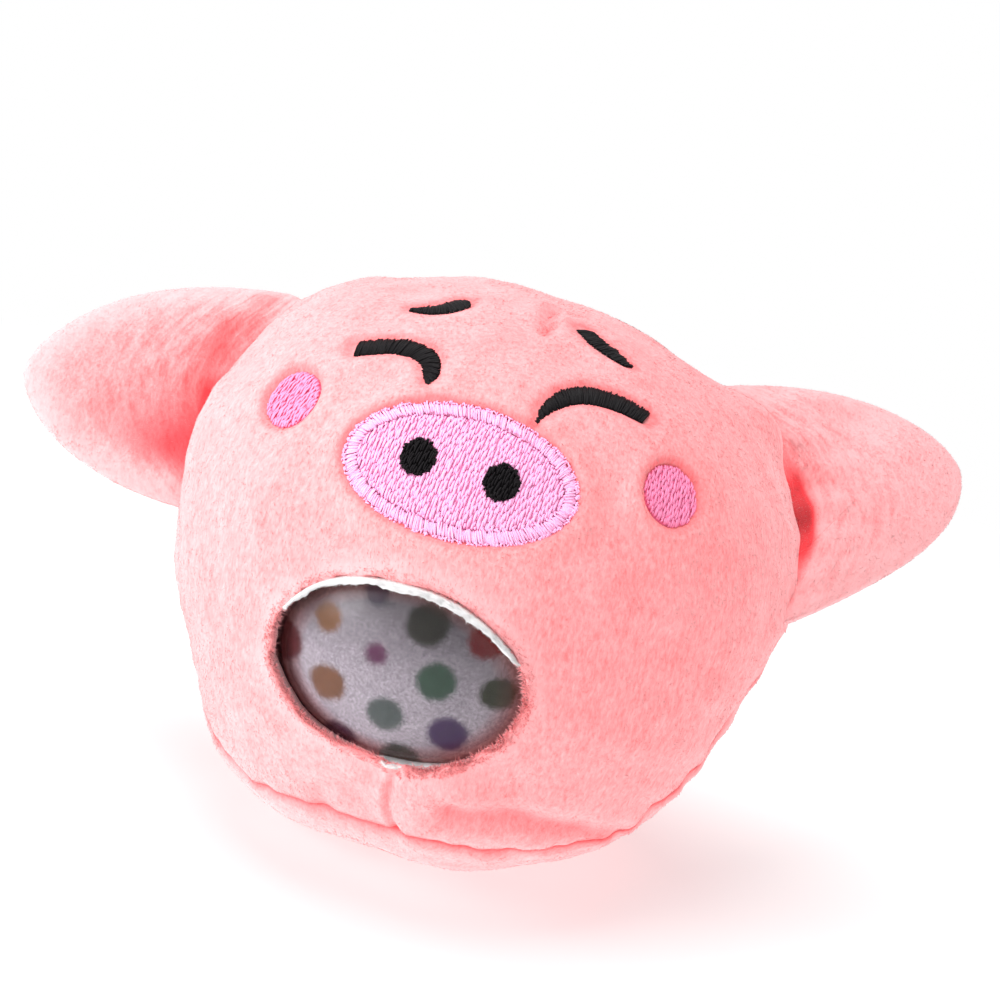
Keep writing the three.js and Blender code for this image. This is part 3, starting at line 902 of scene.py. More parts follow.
@dataclass(frozen=True)
class Pile:
    """Short brushed pile: closed three-sided spikes that lean the way the cloth was brushed."""

    length: float = 0.6
    width: float = 0.07
    lift: float = 0.45
    sunk: float = 0.2
    clear: float = 0.03
    swirl: float = 0.6
    stray: float = 0.3
    seed: int = 5

    def spikes(
        self, name: str, roots: Array, normals: Array, ways: Array, values: dict[str, Array], draw: Draw
    ) -> Piece:
        """One spike from each root.

        Args:
            name: the piece's name.
            roots: where the spikes stand.
            normals: of the cloth there.
            ways: the unit way each spike points.
            values: numbers per spike that its finish reads, such as its painted shading.
            draw: for the small differences between spikes.

        Returns:
            The piece, with its finish's attributes.
        """
        count = len(roots)
        length = self.length * draw.uniform(0.6, 1.2, count)
        side = unit(np.cross(ways, normals) + 1e-9)
        over = np.cross(side, ways)
        width = (self.width * draw.uniform(0.75, 1.25, count))[:, None]
        base = roots - self.sunk * normals
        corners = [base + width * (np.cos(a) * side + np.sin(a) * over) for a in 2 * np.pi / 3 * np.arange(3)]
        tip = base + ways * (length + self.sunk)[:, None]
        points = np.stack([*corners, lifted(tip, self.clear)], 1).reshape(-1, 3)
        sides = np.array([[0, 1, 3], [1, 2, 3], [2, 0, 3], [0, 2, 1]])
        faces = (4 * np.arange(count)[:, None, None] + sides).reshape(-1, 3)
        shown = {"tip": np.tile([0.0, 0.0, 0.0, 1.0], count), "tone": np.repeat(draw.uniform(size=count), 4)}
        shown |= {key: np.repeat(value, 4) for key, value in values.items()}
        return new_piece(name, points, [faces], shown)

    def grow(
        self, name: str, surface: Surface, count: int, brush: Array,
        more: Callable[[Array], dict[str, Array]] | None = None,
    ) -> Piece:
        """Spikes all over a surface, which lie the way it was brushed with swirls and strays.

        Args:
            name: the piece's name.
            surface: what the pile grows on.
            count: how many spikes.
            brush: the way that the pile lies.
            more: further numbers that the finish reads, from the spikes' roots.

        Returns:
            The piece.
        """
        draw = np.random.default_rng(self.seed)
        roots, normals, hollow = surface.scatter(count, draw)
        values = {"hollow": hollow} | (more(roots) if more else {})
        swirl = [Ripple(9.0, 20 + k).at(roots) + 0.5 * Ripple(2.2, 30 + k).at(roots) for k in range(3)]
        nap = brush + self.swirl * np.stack(swirl, -1) + self.stray * draw.normal(size=roots.shape)
        nap -= normals * np.einsum("ij,ij->i", nap, normals)[:, None]
        return self.spikes(name, roots, normals, unit(unit(nap) + self.lift * normals), values, draw)


@dataclass
class Cover:
    """The plush cover: a face panel with the mouth hole, and a back panel, joined at the perimeter seam."""

    columns: int = 440
    face_rows: int = 140
    back_rows: int = 92
    inner_rows: int = 16
    lip_rows: int = 11
    undercut: float = 0.42
    seam_edge: float = 0.996
    edge_steps: int = 12
    face_tufts: int = 49000
    back_tufts: int = 44000
    fringe_tufts: int = 7500
    rim_pale: float = 1.0
    surfaces: dict[str, Surface] = field(default_factory=dict)

    def rim_plane(self, angle: Array) -> Array:
        """The mouth's rim on the flat map of the face: its points seen from the back of the seam's pole."""
        noise = MOUTH.ragged * Ripple(0.3, 8).at(np.stack([np.cos(angle), np.sin(angle), 0 * angle], -1))
        return SEAM.flat(MOUTH.dirs(angle, noise))

    def seam_plane(self, rim: Array) -> Pair:
        """The seam on the flat map, straight out from each point of the mouth's rim, and how far it is.

        Formula: a ray from the rim's middle meets a circle about the pole, whose radius is then set to the
        seam's at the place it meets, and again until they agree.

        Args:
            rim: the mouth's rim on the flat map.

        Returns:
            The seam's places on the flat map, and distances along the head in millimetres.
        """
        centre = rim.mean(0)
        ray = unit(rim - centre)
        along = (centre * ray).sum(-1)
        radius = np.ones(self.columns)
        for _ in range(self.edge_steps):
            reach = -along + np.sqrt(along**2 + (self.seam_edge * radius) ** 2 - centre @ centre)
            edge = centre + ray * reach[:, None]
            radius = SEAM.radius(np.arctan2(edge[:, 1], edge[:, 0]))
        return edge, np.linalg.norm(edge - rim, axis=-1) * 2 * ARC_RADIUS / (1 + (rim**2).sum(-1))

    def build_face(self) -> Piece:
        """The face panel: a closed band from the rolled lip of the mouth to the seam and back inside.

        Formula: a row is rim + share (seam - rim) on the flat map, at its own depth: the lip's quarter
        circle, then the outside, then the inside back again.

        Returns:
            The panel. Its outer rows are kept for the pile.
        """
        angle = turns(self.columns)
        rim = self.rim_plane(angle)
        edge, length = self.seam_plane(rim)
        turn = np.linspace(-np.pi / 3, np.pi / 2, self.lip_rows, endpoint=False)
        lip_depth = MOUTH.lip * (1 - np.sin(turn))
        lip_away = MOUTH.lip * (1 - np.cos(turn)) + self.undercut * lip_depth
        share = np.linspace(0, 1, self.face_rows) ** 1.15
        outer = [(away / length, np.full(self.columns, depth)) for away, depth in zip(lip_away, lip_depth)]
        start = MOUTH.lip / length
        outer += [(start + (1 - start) * s, np.zeros(self.columns)) for s in share]
        end = (MOUTH.lip + self.undercut * COVER) / length
        inner = [(1 - (1 - end) * s, np.full(self.columns, COVER)) for s in np.linspace(0, 1, self.inner_rows)]
        rows = outer + inner
        v = np.stack([row[0] for row in rows])
        depth = np.stack([row[1] for row in rows])
        dirs = SEAM.unflat(rim + v[..., None] * (edge - rim))
        grid = cover_points(dirs, depth)
        bare = np.zeros(grid.shape[:2])
        nominal = HEAD.point(dirs)
        for patch in FACE.patches:
            bare = np.maximum(bare, patch.away(nominal) < 0.1)
        bare[: self.lip_rows][turn < -0.1] = 1.0
        count = len(outer)
        # Painted highlight along the mouth's lip, strongest along its upper rim, taken off the painted shade.
        upper = 0.55 + 0.45 * smoothstep(-0.2, 0.5, np.sin(angle))
        pale = self.rim_pale * bell(np.maximum(v * length - MOUTH.lip, 0), 2.2) * upper
        hollow = RELIEF.hollow(dirs) - pale
        # Painted shade all over the panel's inner side, down the lip's inner wall.
        hollow[count:] = 0.8
        self.surfaces["face"] = Surface(grid[:count], np.zeros(3), bare[:count], hollow[:count])
        half = np.full(hollow.shape, 0.5)
        values = {"tip": half, "tone": half, "hollow": hollow}
        return new_piece("cover_face", grid.reshape(-1, 3), [torus_faces(*half.shape)], values)

    def build_fringe(self) -> Piece:
        """Longer pile round the cut edge of the mouth, combed over it and along its lower left.

        Returns:
            The tufts as one piece.
        """
        draw = np.random.default_rng(41)
        angle = draw.uniform(0, 2 * np.pi, self.fringe_tufts)
        low = smoothstep(0.35, -0.45, np.sin(angle - np.radians(20.0)))
        left = smoothstep(0.1, -0.6, np.cos(angle)) * smoothstep(0.6, -0.1, np.sin(angle))
        keep = draw.uniform(size=len(angle)) < np.maximum(0.4 + 0.6 * low, left)
        angle, low, left = angle[keep], low[keep], left[keep]
        back = draw.uniform(0.1, 1.4, len(angle)) ** 1.3
        dirs = MOUTH.dirs(angle, -back)
        drop = MOUTH.lip * (1 - np.sqrt(np.clip(1 - (1 - back / MOUTH.lip) ** 2, 0, 1))) * (back < MOUTH.lip)
        roots = cover_points(dirs, drop)
        normals = HEAD.normal(dirs)
        inward = unit(MOUTH.frame.origin - roots)
        tangent = np.cross(normals, inward)
        along = np.where(np.cos(angle) < 0.2, 1.0, -0.6) * (0.3 + 0.7 * low) * (1 - 0.6 * left)
        ways = (0.35 + 0.3 * low + 0.6 * left)[:, None] * inward + along[:, None] * tangent + 0.5 * normals
        ways = unit(ways + 0.4 * draw.normal(size=ways.shape))
        # Painted highlight on the upper fringe and a little painted shade on the lower.
        hollow = np.clip(0.06 * low - 0.5 * (1 - low) + 0.06 * draw.normal(size=len(low)), -0.6, 0.15)
        return Pile(length=0.95, width=0.06).spikes("pile_mouth", roots, normals, ways, {"hollow": hollow}, draw)

    def build_back(self) -> Piece:
        """The back panel: a closed cup from its middle to the seam and back inside.

        Returns:
            The panel. Its outer rows are kept for the pile.
        """
        turn = turns(self.columns)
        last = 2 * np.arctan(self.seam_edge / SEAM.radius(turn))
        out_share = np.linspace(0, 1, self.back_rows + 1)[1:]
        in_share = np.linspace(1, 0, self.inner_rows + 1)[:-1]
        angle = np.concatenate([out_share, in_share])[:, None] * last
        depth = np.where(np.arange(len(angle)) < self.back_rows, 0.0, COVER)[:, None]
        side = np.cos(turn)[:, None] * SEAM_ACROSS + np.sin(turn)[:, None] * SEAM_UP
        dirs = np.sin(angle)[..., None] * side - np.cos(angle)[..., None] * SEAM_POLE
        grid = cover_points(unit(dirs), np.broadcast_to(depth, dirs.shape[:2]))
        poles = cover_points(np.stack([-SEAM_POLE, -SEAM_POLE]), np.array([0.0, COVER]))
        hollow = RELIEF.hollow(unit(dirs))
        count = self.back_rows
        self.surfaces["back"] = Surface(grid[:count], np.zeros(3), hollow=hollow[:count])
        points, faces = capped(grid, poles)
        half = np.full(len(points), 0.5)
        values = {"tip": half, "tone": half, "hollow": np.append(hollow.ravel(), [0.0, 0.0])}
        return new_piece("cover_back", points, faces, values)

    def build(self) -> None:
        """Both panels and their pile, riding on the head."""
        brush = np.array([0.12, 0.0, -1.0])
        face, back = self.build_face(), self.build_back()
        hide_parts("face_panel")
        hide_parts("back_panel")
        grown = [
            Pile().grow("pile_face", self.surfaces["face"], self.face_tufts, brush),
            Pile().grow("pile_back", self.surfaces["back"], self.back_tufts, brush),
            self.build_fringe(),
        ]
        for piece in [face, back, *grown]:
            dress(piece, PlushFinish("plush"))
            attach(piece, "head")


@dataclass
class MouthBacking:
    """The pale knit backing of the plush, seen as a thin edge inside the mouth."""

    columns: int = 260
    width: float = 0.75
    proud: float = 0.75
    tufts: int = 1100
    marks: tuple[float, ...] = (0, 19, 32, 47, 60, 90, 110, 135, 155, 170, 262, 272, 290, 305, 315, 360)
    shares: tuple[float, ...] = (0, 0, 0.3, 0.6, 0.85, 1, 0.75, 0.5, 0.3, 0, 0, 0.2, 0.14, 0.06, 0, 0)

    def build(self) -> None:
        """A closed ring whose front edge shows most along the upper rim."""
        angle = turns(self.columns)
        shown = np.interp(np.degrees(angle), self.marks, self.shares)
        circle = np.stack([np.cos(angle), np.sin(angle), 0 * angle], -1)
        noise, fray = Ripple(0.35, 14).at(circle), Ripple(0.07, 15).at(circle)
        seen = smoothstep(0.0, 0.25, shown)
        start = 1.5 - 1.25 * seen
        width = 0.3 + (start - 0.25) * seen + self.width * shown + 0.1 * noise * seen
        front = 2.1 - (2.1 + self.proud * np.minimum(1, 0.4 + shown)) * seen + 0.08 * fray
        front = front - RELIEF.at(MOUTH.dirs(angle))
        section = [(0.02, 0.35), (0.0, 0.0), (0.3, -0.12), (0.75, -0.06), (1.0, 0.12), (1.0, 0.5)]
        rows = []
        for share, sink in section:
            x, y = MOUTH.rim(angle, -start + width * share + 0.1 * fray * share)
            rows.append(MOUTH.frame.on_form(x, y, np.minimum(front + sink, COVER - 0.2)))
        for share in (1.0, 0.02):
            x, y = MOUTH.rim(angle, -start + width * share)
            rows.append(MOUTH.frame.on_form(x, y, COVER))
        grid = np.stack(rows)
        piece = new_piece("mouth_backing", grid.reshape(-1, 3), [torus_faces(*grid.shape[:2])])
        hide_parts("mouth_facing")
        surface = Surface(grid[1:5], MOUTH.frame.place(0.0, 0.0, -12.0), bare=(seen < 0.5) * 1.0)
        fluff = Pile(length=0.38, width=0.05, lift=0.8, sunk=0.1, stray=0.9, seed=91).grow(
            "nap_mouth_backing", surface, self.tufts, np.array([0.2, 0.0, -0.6])
        )
        for part in (piece, fluff):
            dress(part, KNIT)
            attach(part, "head")


def oval_outline(half_width: float, half_height: float, x0: float = 0.0, y0: float = 0.0) -> Outline:
    """An oval as a function of an angle t: x0 + half width cos t, y0 + half height sin t."""
    return lambda t: (x0 + half_width * np.cos(t), y0 + half_height * np.sin(t))


def quarter_turn(ways: Array) -> Array:
    """Flat vectors turned a quarter to the left: (-y, x)."""
    return np.stack([-ways[:, 1], ways[:, 0]], -1)


@dataclass(frozen=True)
class Stitches:
    """Embroidery thread laid over a patch: each stitch is a short closed strand that arches over the cloth."""

    width: float = 0.36
    height: float = 0.24
    arch: float = 0.22
    base: float = 0.62
    bed_thickness: float = 0.45
    stations: tuple[float, ...] = (0.0, 0.12, 0.5, 0.88, 1.0)
    girth: tuple[float, ...] = (0.45, 0.9, 1.0, 0.9, 0.45)
    corners: tuple[float, ...] = (-150.0, 150.0, 90.0, 30.0, -30.0)

    def strands(self, where: Frame, ends: Pair, lift: float, draw: Draw) -> Body:
        """The stitches from their two ends on a patch.

        Formula: a ring of corners at each station; its middle rises by the arch times sin(pi station) and
        bows a little to the side by the same sine.

        Args:
            where: the patch's frame.
            ends: the first ends and the last ends, n by 2, across and up.
            lift: extra height of the stitches.
            draw: for the small differences between stitches.

        Returns:
            Points, faces, and how high each point is on its strand from 0 to 1.
        """
        starts, along = ends[0], ends[1] - ends[0]
        count = len(starts)
        stations, girth, corner = np.array(self.stations), np.array(self.girth), np.radians(self.corners)
        side = quarter_turn(along) / np.maximum(np.linalg.norm(along, axis=1), 1e-6)[:, None]
        width = 0.5 * self.width * draw.uniform(0.85, 1.15, count)
        bow = 0.06 * draw.normal(size=count)
        rise = lift + 0.05 * draw.normal(size=count)
        spot = starts[:, None] + stations[None, :, None] * along[:, None]
        spot = spot + (bow[:, None] * np.sin(np.pi * stations))[..., None] * side[:, None]
        middle = -self.base + rise[:, None] + self.arch * np.sin(np.pi * np.clip(stations, 0.04, 0.96))[None]
        reach = side[:, None, None] * width[:, None, None, None] * girth[:, None, None] * np.cos(corner)[:, None]
        x, y = np.moveaxis(spot[:, :, None] + reach, -1, 0)
        height = middle[:, :, None] + 0.5 * self.height * girth[None, :, None] * np.sin(corner)
        points = where.place(x, y, where.outwards_at(x, y, 0.0) + height)
        number = np.arange(height.size).reshape(height.shape)
        after = np.roll(number, -1, 2)
        quads = np.stack([number[:, :-1], after[:, :-1], after[:, 1:], number[:, 1:]], -1).reshape(-1, 4)
        caps = np.concatenate([number[:, 0, ::-1], number[:, -1]])
        # How high each point is on its strand, which the thread's painted shade reads.
        swell = np.sin(np.pi * np.clip(stations, 0.08, 0.92))[None, :, None]
        top = np.broadcast_to(np.sin(corner) * 0.5 + 0.5, height.shape) * swell
        return points.reshape(-1, 3), [quads, caps], top.ravel()

    def bed(self, where: Frame, outline: Outline, sink: float) -> Closed:
        """A thin closed plate under the stitches, its rim rounded off downwards.

        Formula: each row is middle + share (outline - middle).

        Args:
            where: the patch's frame.
            outline: the plate's outline as a function of an angle.
            sink: how far its top is below the head's even form.

        Returns:
            Points and faces.
        """
        x, y = outline(turns(96))
        shares = np.array([0.12, 0.35, 0.6, 0.82, 0.96, 1.0])
        drops = (0.0, 0.0, 0.0, 0.0, -0.06, -0.25)
        low = -sink - self.bed_thickness
        middle_x, middle_y = np.full(2, x.mean()), np.full(2, y.mean())
        rows = [(share, -sink + drop) for share, drop in zip(shares, drops)] + [(share, low) for share in shares[::-1]]
        grid = []
        for share, height in rows:
            a, b = middle_x[0] + share * (x - middle_x[0]), middle_y[0] + share * (y - middle_y[0])
            grid.append(where.place(a, b, where.outwards_at(a, b, 0.0) + height))
        out = where.outwards_at(middle_x, middle_y, 0.0) + np.array([-sink, low])
        return capped(np.stack(grid), where.place(middle_x, middle_y, out))


def join_parts(parts: Iterable[Body]) -> Body:
    """Several closed bodies as one mesh.

    Args:
        parts: points, faces and one value a point of each.

    Returns:
        All points, their faces sorted by corner count, and all values.
    """
    points, values, sorted_faces, start = [], [], {}, 0
    for part_points, part_faces, part_values in parts:
        for face in outward(part_points, part_faces):
            sorted_faces.setdefault(face.shape[1], []).append(face + start)
        points.append(part_points)
        values.append(part_values)
        start += len(part_points)
    faces = [np.vstack(found) for found in sorted_faces.values()]
    return np.vstack(points), faces, np.concatenate(values)


@dataclass
class Embroidery:
    """The stitched face: snout, nostrils, eyes, brows and cheeks."""

    pitch: float = 0.19
    fill_pitch: float = 0.31
    fill_stitch: float = 1.8
    past: float = 0.15
    snout_slant: float = 6.0
    nostril_slant: float = 10.0
    cheek_slant: float = 14.0
    border_flecks: int = 420
    nostril_flecks: int = 46
    seed: int = 17
    thread: Stitches = Stitches()
    satin: Stitches = Stitches(width=0.26, height=0.2)
    flat: Stitches = Stitches(width=0.37, height=0.16)

    def fill(self, half_width: float, half_height: float, slant: float, draw: Draw, holes: Sequence = ()) -> Pair:
        """Columns of staggered stitches inside an oval, with gaps round holes.

        Formula: columns stand a pitch apart, each cut by the oval into stitches of one length,
        and the cuts shift by a third of a stitch from one column to the next.

        Args:
            half_width: of the oval.
            half_height: of the oval.
            slant: how the columns lean, in degrees.
            draw: for the small differences.
            holes: middle, half width and half height of each.

        Returns:
            The stitches' first and last ends.
        """
        starts, ends = [], []
        lean = np.tan(np.radians(slant))
        for number, base in enumerate(np.arange(-half_width - 2, half_width + 2, self.fill_pitch)):
            phase = (number * 0.38) % 1.0 + 0.12 * draw.normal()
            cuts = (np.arange(-40, 40) + phase) * self.fill_stitch
            cuts = cuts + 0.12 * draw.normal(size=len(cuts))
            for low, high in zip(cuts[:-1], cuts[1:]):
                ys = np.linspace(low, high, 9)
                xs = base + lean * ys + 0.05 * draw.normal()
                inside = np.hypot(xs / half_width, ys / half_height) < 1.0
                for x0, y0, a, b in holes:
                    inside &= np.hypot((xs - x0) / a, (ys - y0) / b) > 1.0
                if inside.sum() >= 3:
                    found = np.flatnonzero(inside)
                    starts.append((xs[found[0]], ys[found[0]]))
                    ends.append((xs[found[-1]], ys[found[-1]]))
        return np.array(starts), np.array(ends)

    def satin_ring(self, half_width: float, half_height: float, border: float, draw: Draw) -> Pair:
        """Stitches across a border, side by side round the oval.

        Args:
            half_width: of the border's outer edge.
            half_height: of its outer edge.
            border: its width.
            draw: for the small differences.

        Returns:
            The stitches' outer and inner ends.
        """
        fine = np.linspace(0, 2 * np.pi, 2001)
        length = length_along(*oval_outline(half_width, half_height)(fine))
        count = int(length[-1] / self.pitch)
        angle = np.interp(np.arange(count) * length[-1] / count, length, fine)
        normal = unit(np.stack([np.cos(angle) / half_width, np.sin(angle) / half_height], -1))
        middle = np.stack(oval_outline(half_width - border / 2, half_height - border / 2)(angle), -1)
        reach = border / 2 - 0.12 + 0.2 * draw.normal(size=(2, count, 1)).clip(-1.5, 2.0)
        skew = 0.18 * quarter_turn(normal)
        return middle + reach[0] * normal + skew, middle - reach[1] * normal - skew

    def ring_bed(self, where: Frame, half_width: float, half_height: float, border: float, sink: float) -> Closed:
        """A thin closed ring under a satin border: four rows round the oval.

        Args:
            where: the patch's frame.
            half_width: of the border's outer edge.
            half_height: of its outer edge.
            border: its width.
            sink: how far the ring's top is below the head's even form.

        Returns:
            Points and faces.
        """
        rows = []
        for inset, depth in ((0.2, sink), (border - 0.1, sink), (border - 0.1, sink + 0.5), (0.2, sink + 0.5)):
            x, y = oval_outline(half_width - inset, half_height - inset)(turns(160))
            rows.append(where.place(x, y, where.outwards_at(x, y, 0.0) - depth))
        return np.concatenate(rows), [torus_faces(4, 160)]

    def satin_stroke(self, stroke: Stroke, draw: Draw) -> Pair:
        """Stitches across a stroke, side by side along it, with jagged ends.

        Args:
            stroke: the stroke.
            draw: for the small differences.

        Returns:
            The stitches' two ends.
        """
        fine = np.linspace(0, 1, 800)
        length = length_along(*stroke.curve(fine))
        count = int(length[-1] / (self.pitch * 0.8))
        share = np.interp(np.arange(count + 1) * length[-1] / count, length, fine)
        ahead, behind = stroke.curve(share + 0.01), stroke.curve(share - 0.01)
        tangent = unit(np.stack([ahead[0] - behind[0], ahead[1] - behind[1]], -1))
        normal = quarter_turn(tangent)
        middle = np.stack(stroke.curve(share), -1)
        half = stroke.half_width(share)[:, None] + 0.19 * draw.normal(size=(2, count + 1, 1))
        skew = 0.3 * tangent
        return middle + half[0] * normal + skew, middle - half[1] * normal - skew

    def flecks(self, outline: Outline, count: int, draw: Draw) -> Pair:
        """Short loose ends of thread that cross an outline.

        Args:
            outline: as a function of an angle.
            count: how many.
            draw: for their places.

        Returns:
            Their two ends.
        """
        spot = np.stack(outline(draw.uniform(0, 2 * np.pi, count)), -1) + 0.1 * draw.normal(size=(count, 2))
        reach = unit(draw.normal(size=(count, 2))) * draw.uniform(0.12, 0.38, (count, 1))
        return spot - reach, spot + reach

    def piece(
        self, node: str, where: Frame, rows: Sequence[Pair], bed: Closed | None, finish: "ThreadFinish",
        lift: float, thread: Stitches,
    ) -> None:
        """One embroidered piece: its stitches over a bed, in place of its node.

        Args:
            node: the node that it replaces.
            where: the frame of its patch.
            rows: the two ends of its stitches.
            bed: points and faces of the plate under them, or nothing.
            finish: the thread's finish.
            lift: extra height of the stitches.
            thread: how thick the stitches are.
        """
        draw = np.random.default_rng(self.seed + len(node))
        parts = [thread.strands(where, ends, lift, draw) for ends in rows]
        if bed is not None:
            # The bed takes the thread's painted shade of a point below the strands.
            parts.append((*bed, np.full(len(bed[0]), -0.1)))
        points, faces, top = join_parts(parts)
        made = new_piece(f"{node}_stitches", points, faces, {"strand": top})
        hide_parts(node)
        dress(made, finish)
        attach(made, "head")

    def snout(self, draw: Draw) -> None:
        """The snout's border and filling, and its nostrils.

        Args:
            draw: for the small differences.
        """
        snout, thread = FACE.snout.frame, self.thread
        a, b, rim = FACE.snout_half_width, FACE.snout_half_height, FACE.snout_border
        ring = self.satin_ring(a, b, rim, draw)
        nostrils = [
            (side.value * FACE.nostril_spacing, rise, FACE.nostril_half_width, FACE.nostril_half_height)
            for side, rise in zip(Side, FACE.nostril_rises)
        ]
        inner = self.fill(a - rim + self.past, b - rim + self.past, self.snout_slant, draw, nostrils)
        loose = self.flecks(oval_outline(a, b), self.border_flecks, draw)
        under = self.ring_bed(snout, a, b, rim, 0.72)
        self.piece("snout_border", snout, [ring, loose], under, PALE_THREAD, 0.12, self.satin)
        under = thread.bed(snout, oval_outline(a - rim, b - rim), 0.74)
        self.piece("snout_fill", snout, [inner], under, PINK_THREAD, -0.04, self.flat)
        for side, (x, y, w, h) in zip(Side, nostrils):
            starts, ends = self.fill(w + self.past, h + self.past, self.nostril_slant, draw)
            shift, edge = np.array([x, y]), oval_outline(w, h, x, y)
            rows = [(starts + shift, ends + shift), self.flecks(edge, self.nostril_flecks, draw)]
            under = thread.bed(snout, edge, 0.62)
            self.piece(f"nostril_{side.word}", snout, rows, under, BLACK_THREAD, 0.1, thread)

    def side(self, side: Side, draw: Draw) -> None:
        """The cheek, eye and brow of one side; a loose end hangs from the left eye.

        Args:
            side: which side.
            draw: for the small differences.
        """
        cheek, thread = FACE.cheek(side).frame, self.thread
        w, h = FACE.cheek_half_width, FACE.cheek_half_height
        rows = [self.fill(w, h, self.cheek_slant, draw)]
        under = thread.bed(cheek, oval_outline(w - 0.1, h - 0.1), 0.7)
        self.piece(f"cheek_{side.word}", cheek, rows, under, CHEEK_THREAD, 0.0, self.flat)
        for word, patch, stroke, lift in (
            ("eye", FACE.eye(side), FACE.eye_stroke_of(side), 0.3),
            ("brow", FACE.brow(side), FACE.brow_stroke_of(side), 0.5),
        ):
            rows = [self.satin_stroke(stroke, draw) for _ in range(2)]
            if word == "eye" and side is Side.LEFT:
                rows.append((np.array([[6.3, -3.2]]), np.array([[6.6, -4.9]])))
            self.piece(f"{word}_{side.word}", patch.frame, rows, None, BLACK_THREAD, lift, thread)

    def build(self) -> None:
        """Every stitched feature of the face."""
        draw = np.random.default_rng(self.seed)
        self.snout(draw)
        for side in Side:
            self.side(side, draw)


@dataclass(frozen=True)
class EarPlace:
    """Where one ear is sewn in, how it hangs, and the painted light and shade on its pile.

    Attributes:
        side: of the head.
        latitude: of its root's middle, in degrees.
        raised: how far it points up, in degrees.
        sweep: how far it points ahead, in degrees.
        other_half: length of its root's other half, in millimetres.
        other_flat: how much flatter that half's outline is.
        end_sunk: how far that end dips into the head.
        pinch_reach: how far out the seam pinches it.
        hollow: how much painted shade lies along its root.
        hollow_reach: how far out that painted shade goes.
        low_hollow: how much painted shade lies along its lower part.
        inner_tone: how much paler its front is painted: painted light on the lit ear, painted shade on the other.
        crease: how dark the painted shade in its crease is.
        crease_at: how far up the root the crease is.
        crease_half: half the crease's length.
    """

    side: Side
    latitude: float
    raised: float
    sweep: float
    other_half: float
    other_flat: float
    end_sunk: float
    pinch_reach: float
    hollow: float
    hollow_reach: float
    low_hollow: float
    inner_tone: float
    crease: float
    crease_at: float
    crease_half: float


EAR_PLACES = (
    EarPlace(
        Side.LEFT, latitude=14.5, raised=-8.0, sweep=-4.0, other_half=17.2, other_flat=-0.1, end_sunk=7.0,
        pinch_reach=5.0, hollow=0.45, hollow_reach=7.5, low_hollow=1.0, inner_tone=-0.15,
        crease=1.4, crease_at=4.0, crease_half=5.0,
    ),
    EarPlace(
        Side.RIGHT, latitude=25.0, raised=24.0, sweep=34.0, other_half=20.4, other_flat=0.14, end_sunk=2.5,
        pinch_reach=5.5, hollow=0.12, hollow_reach=1.2, low_hollow=0.0, inner_tone=0.3,
        crease=1.55, crease_at=-3.5, crease_half=7.5,
    ),
)


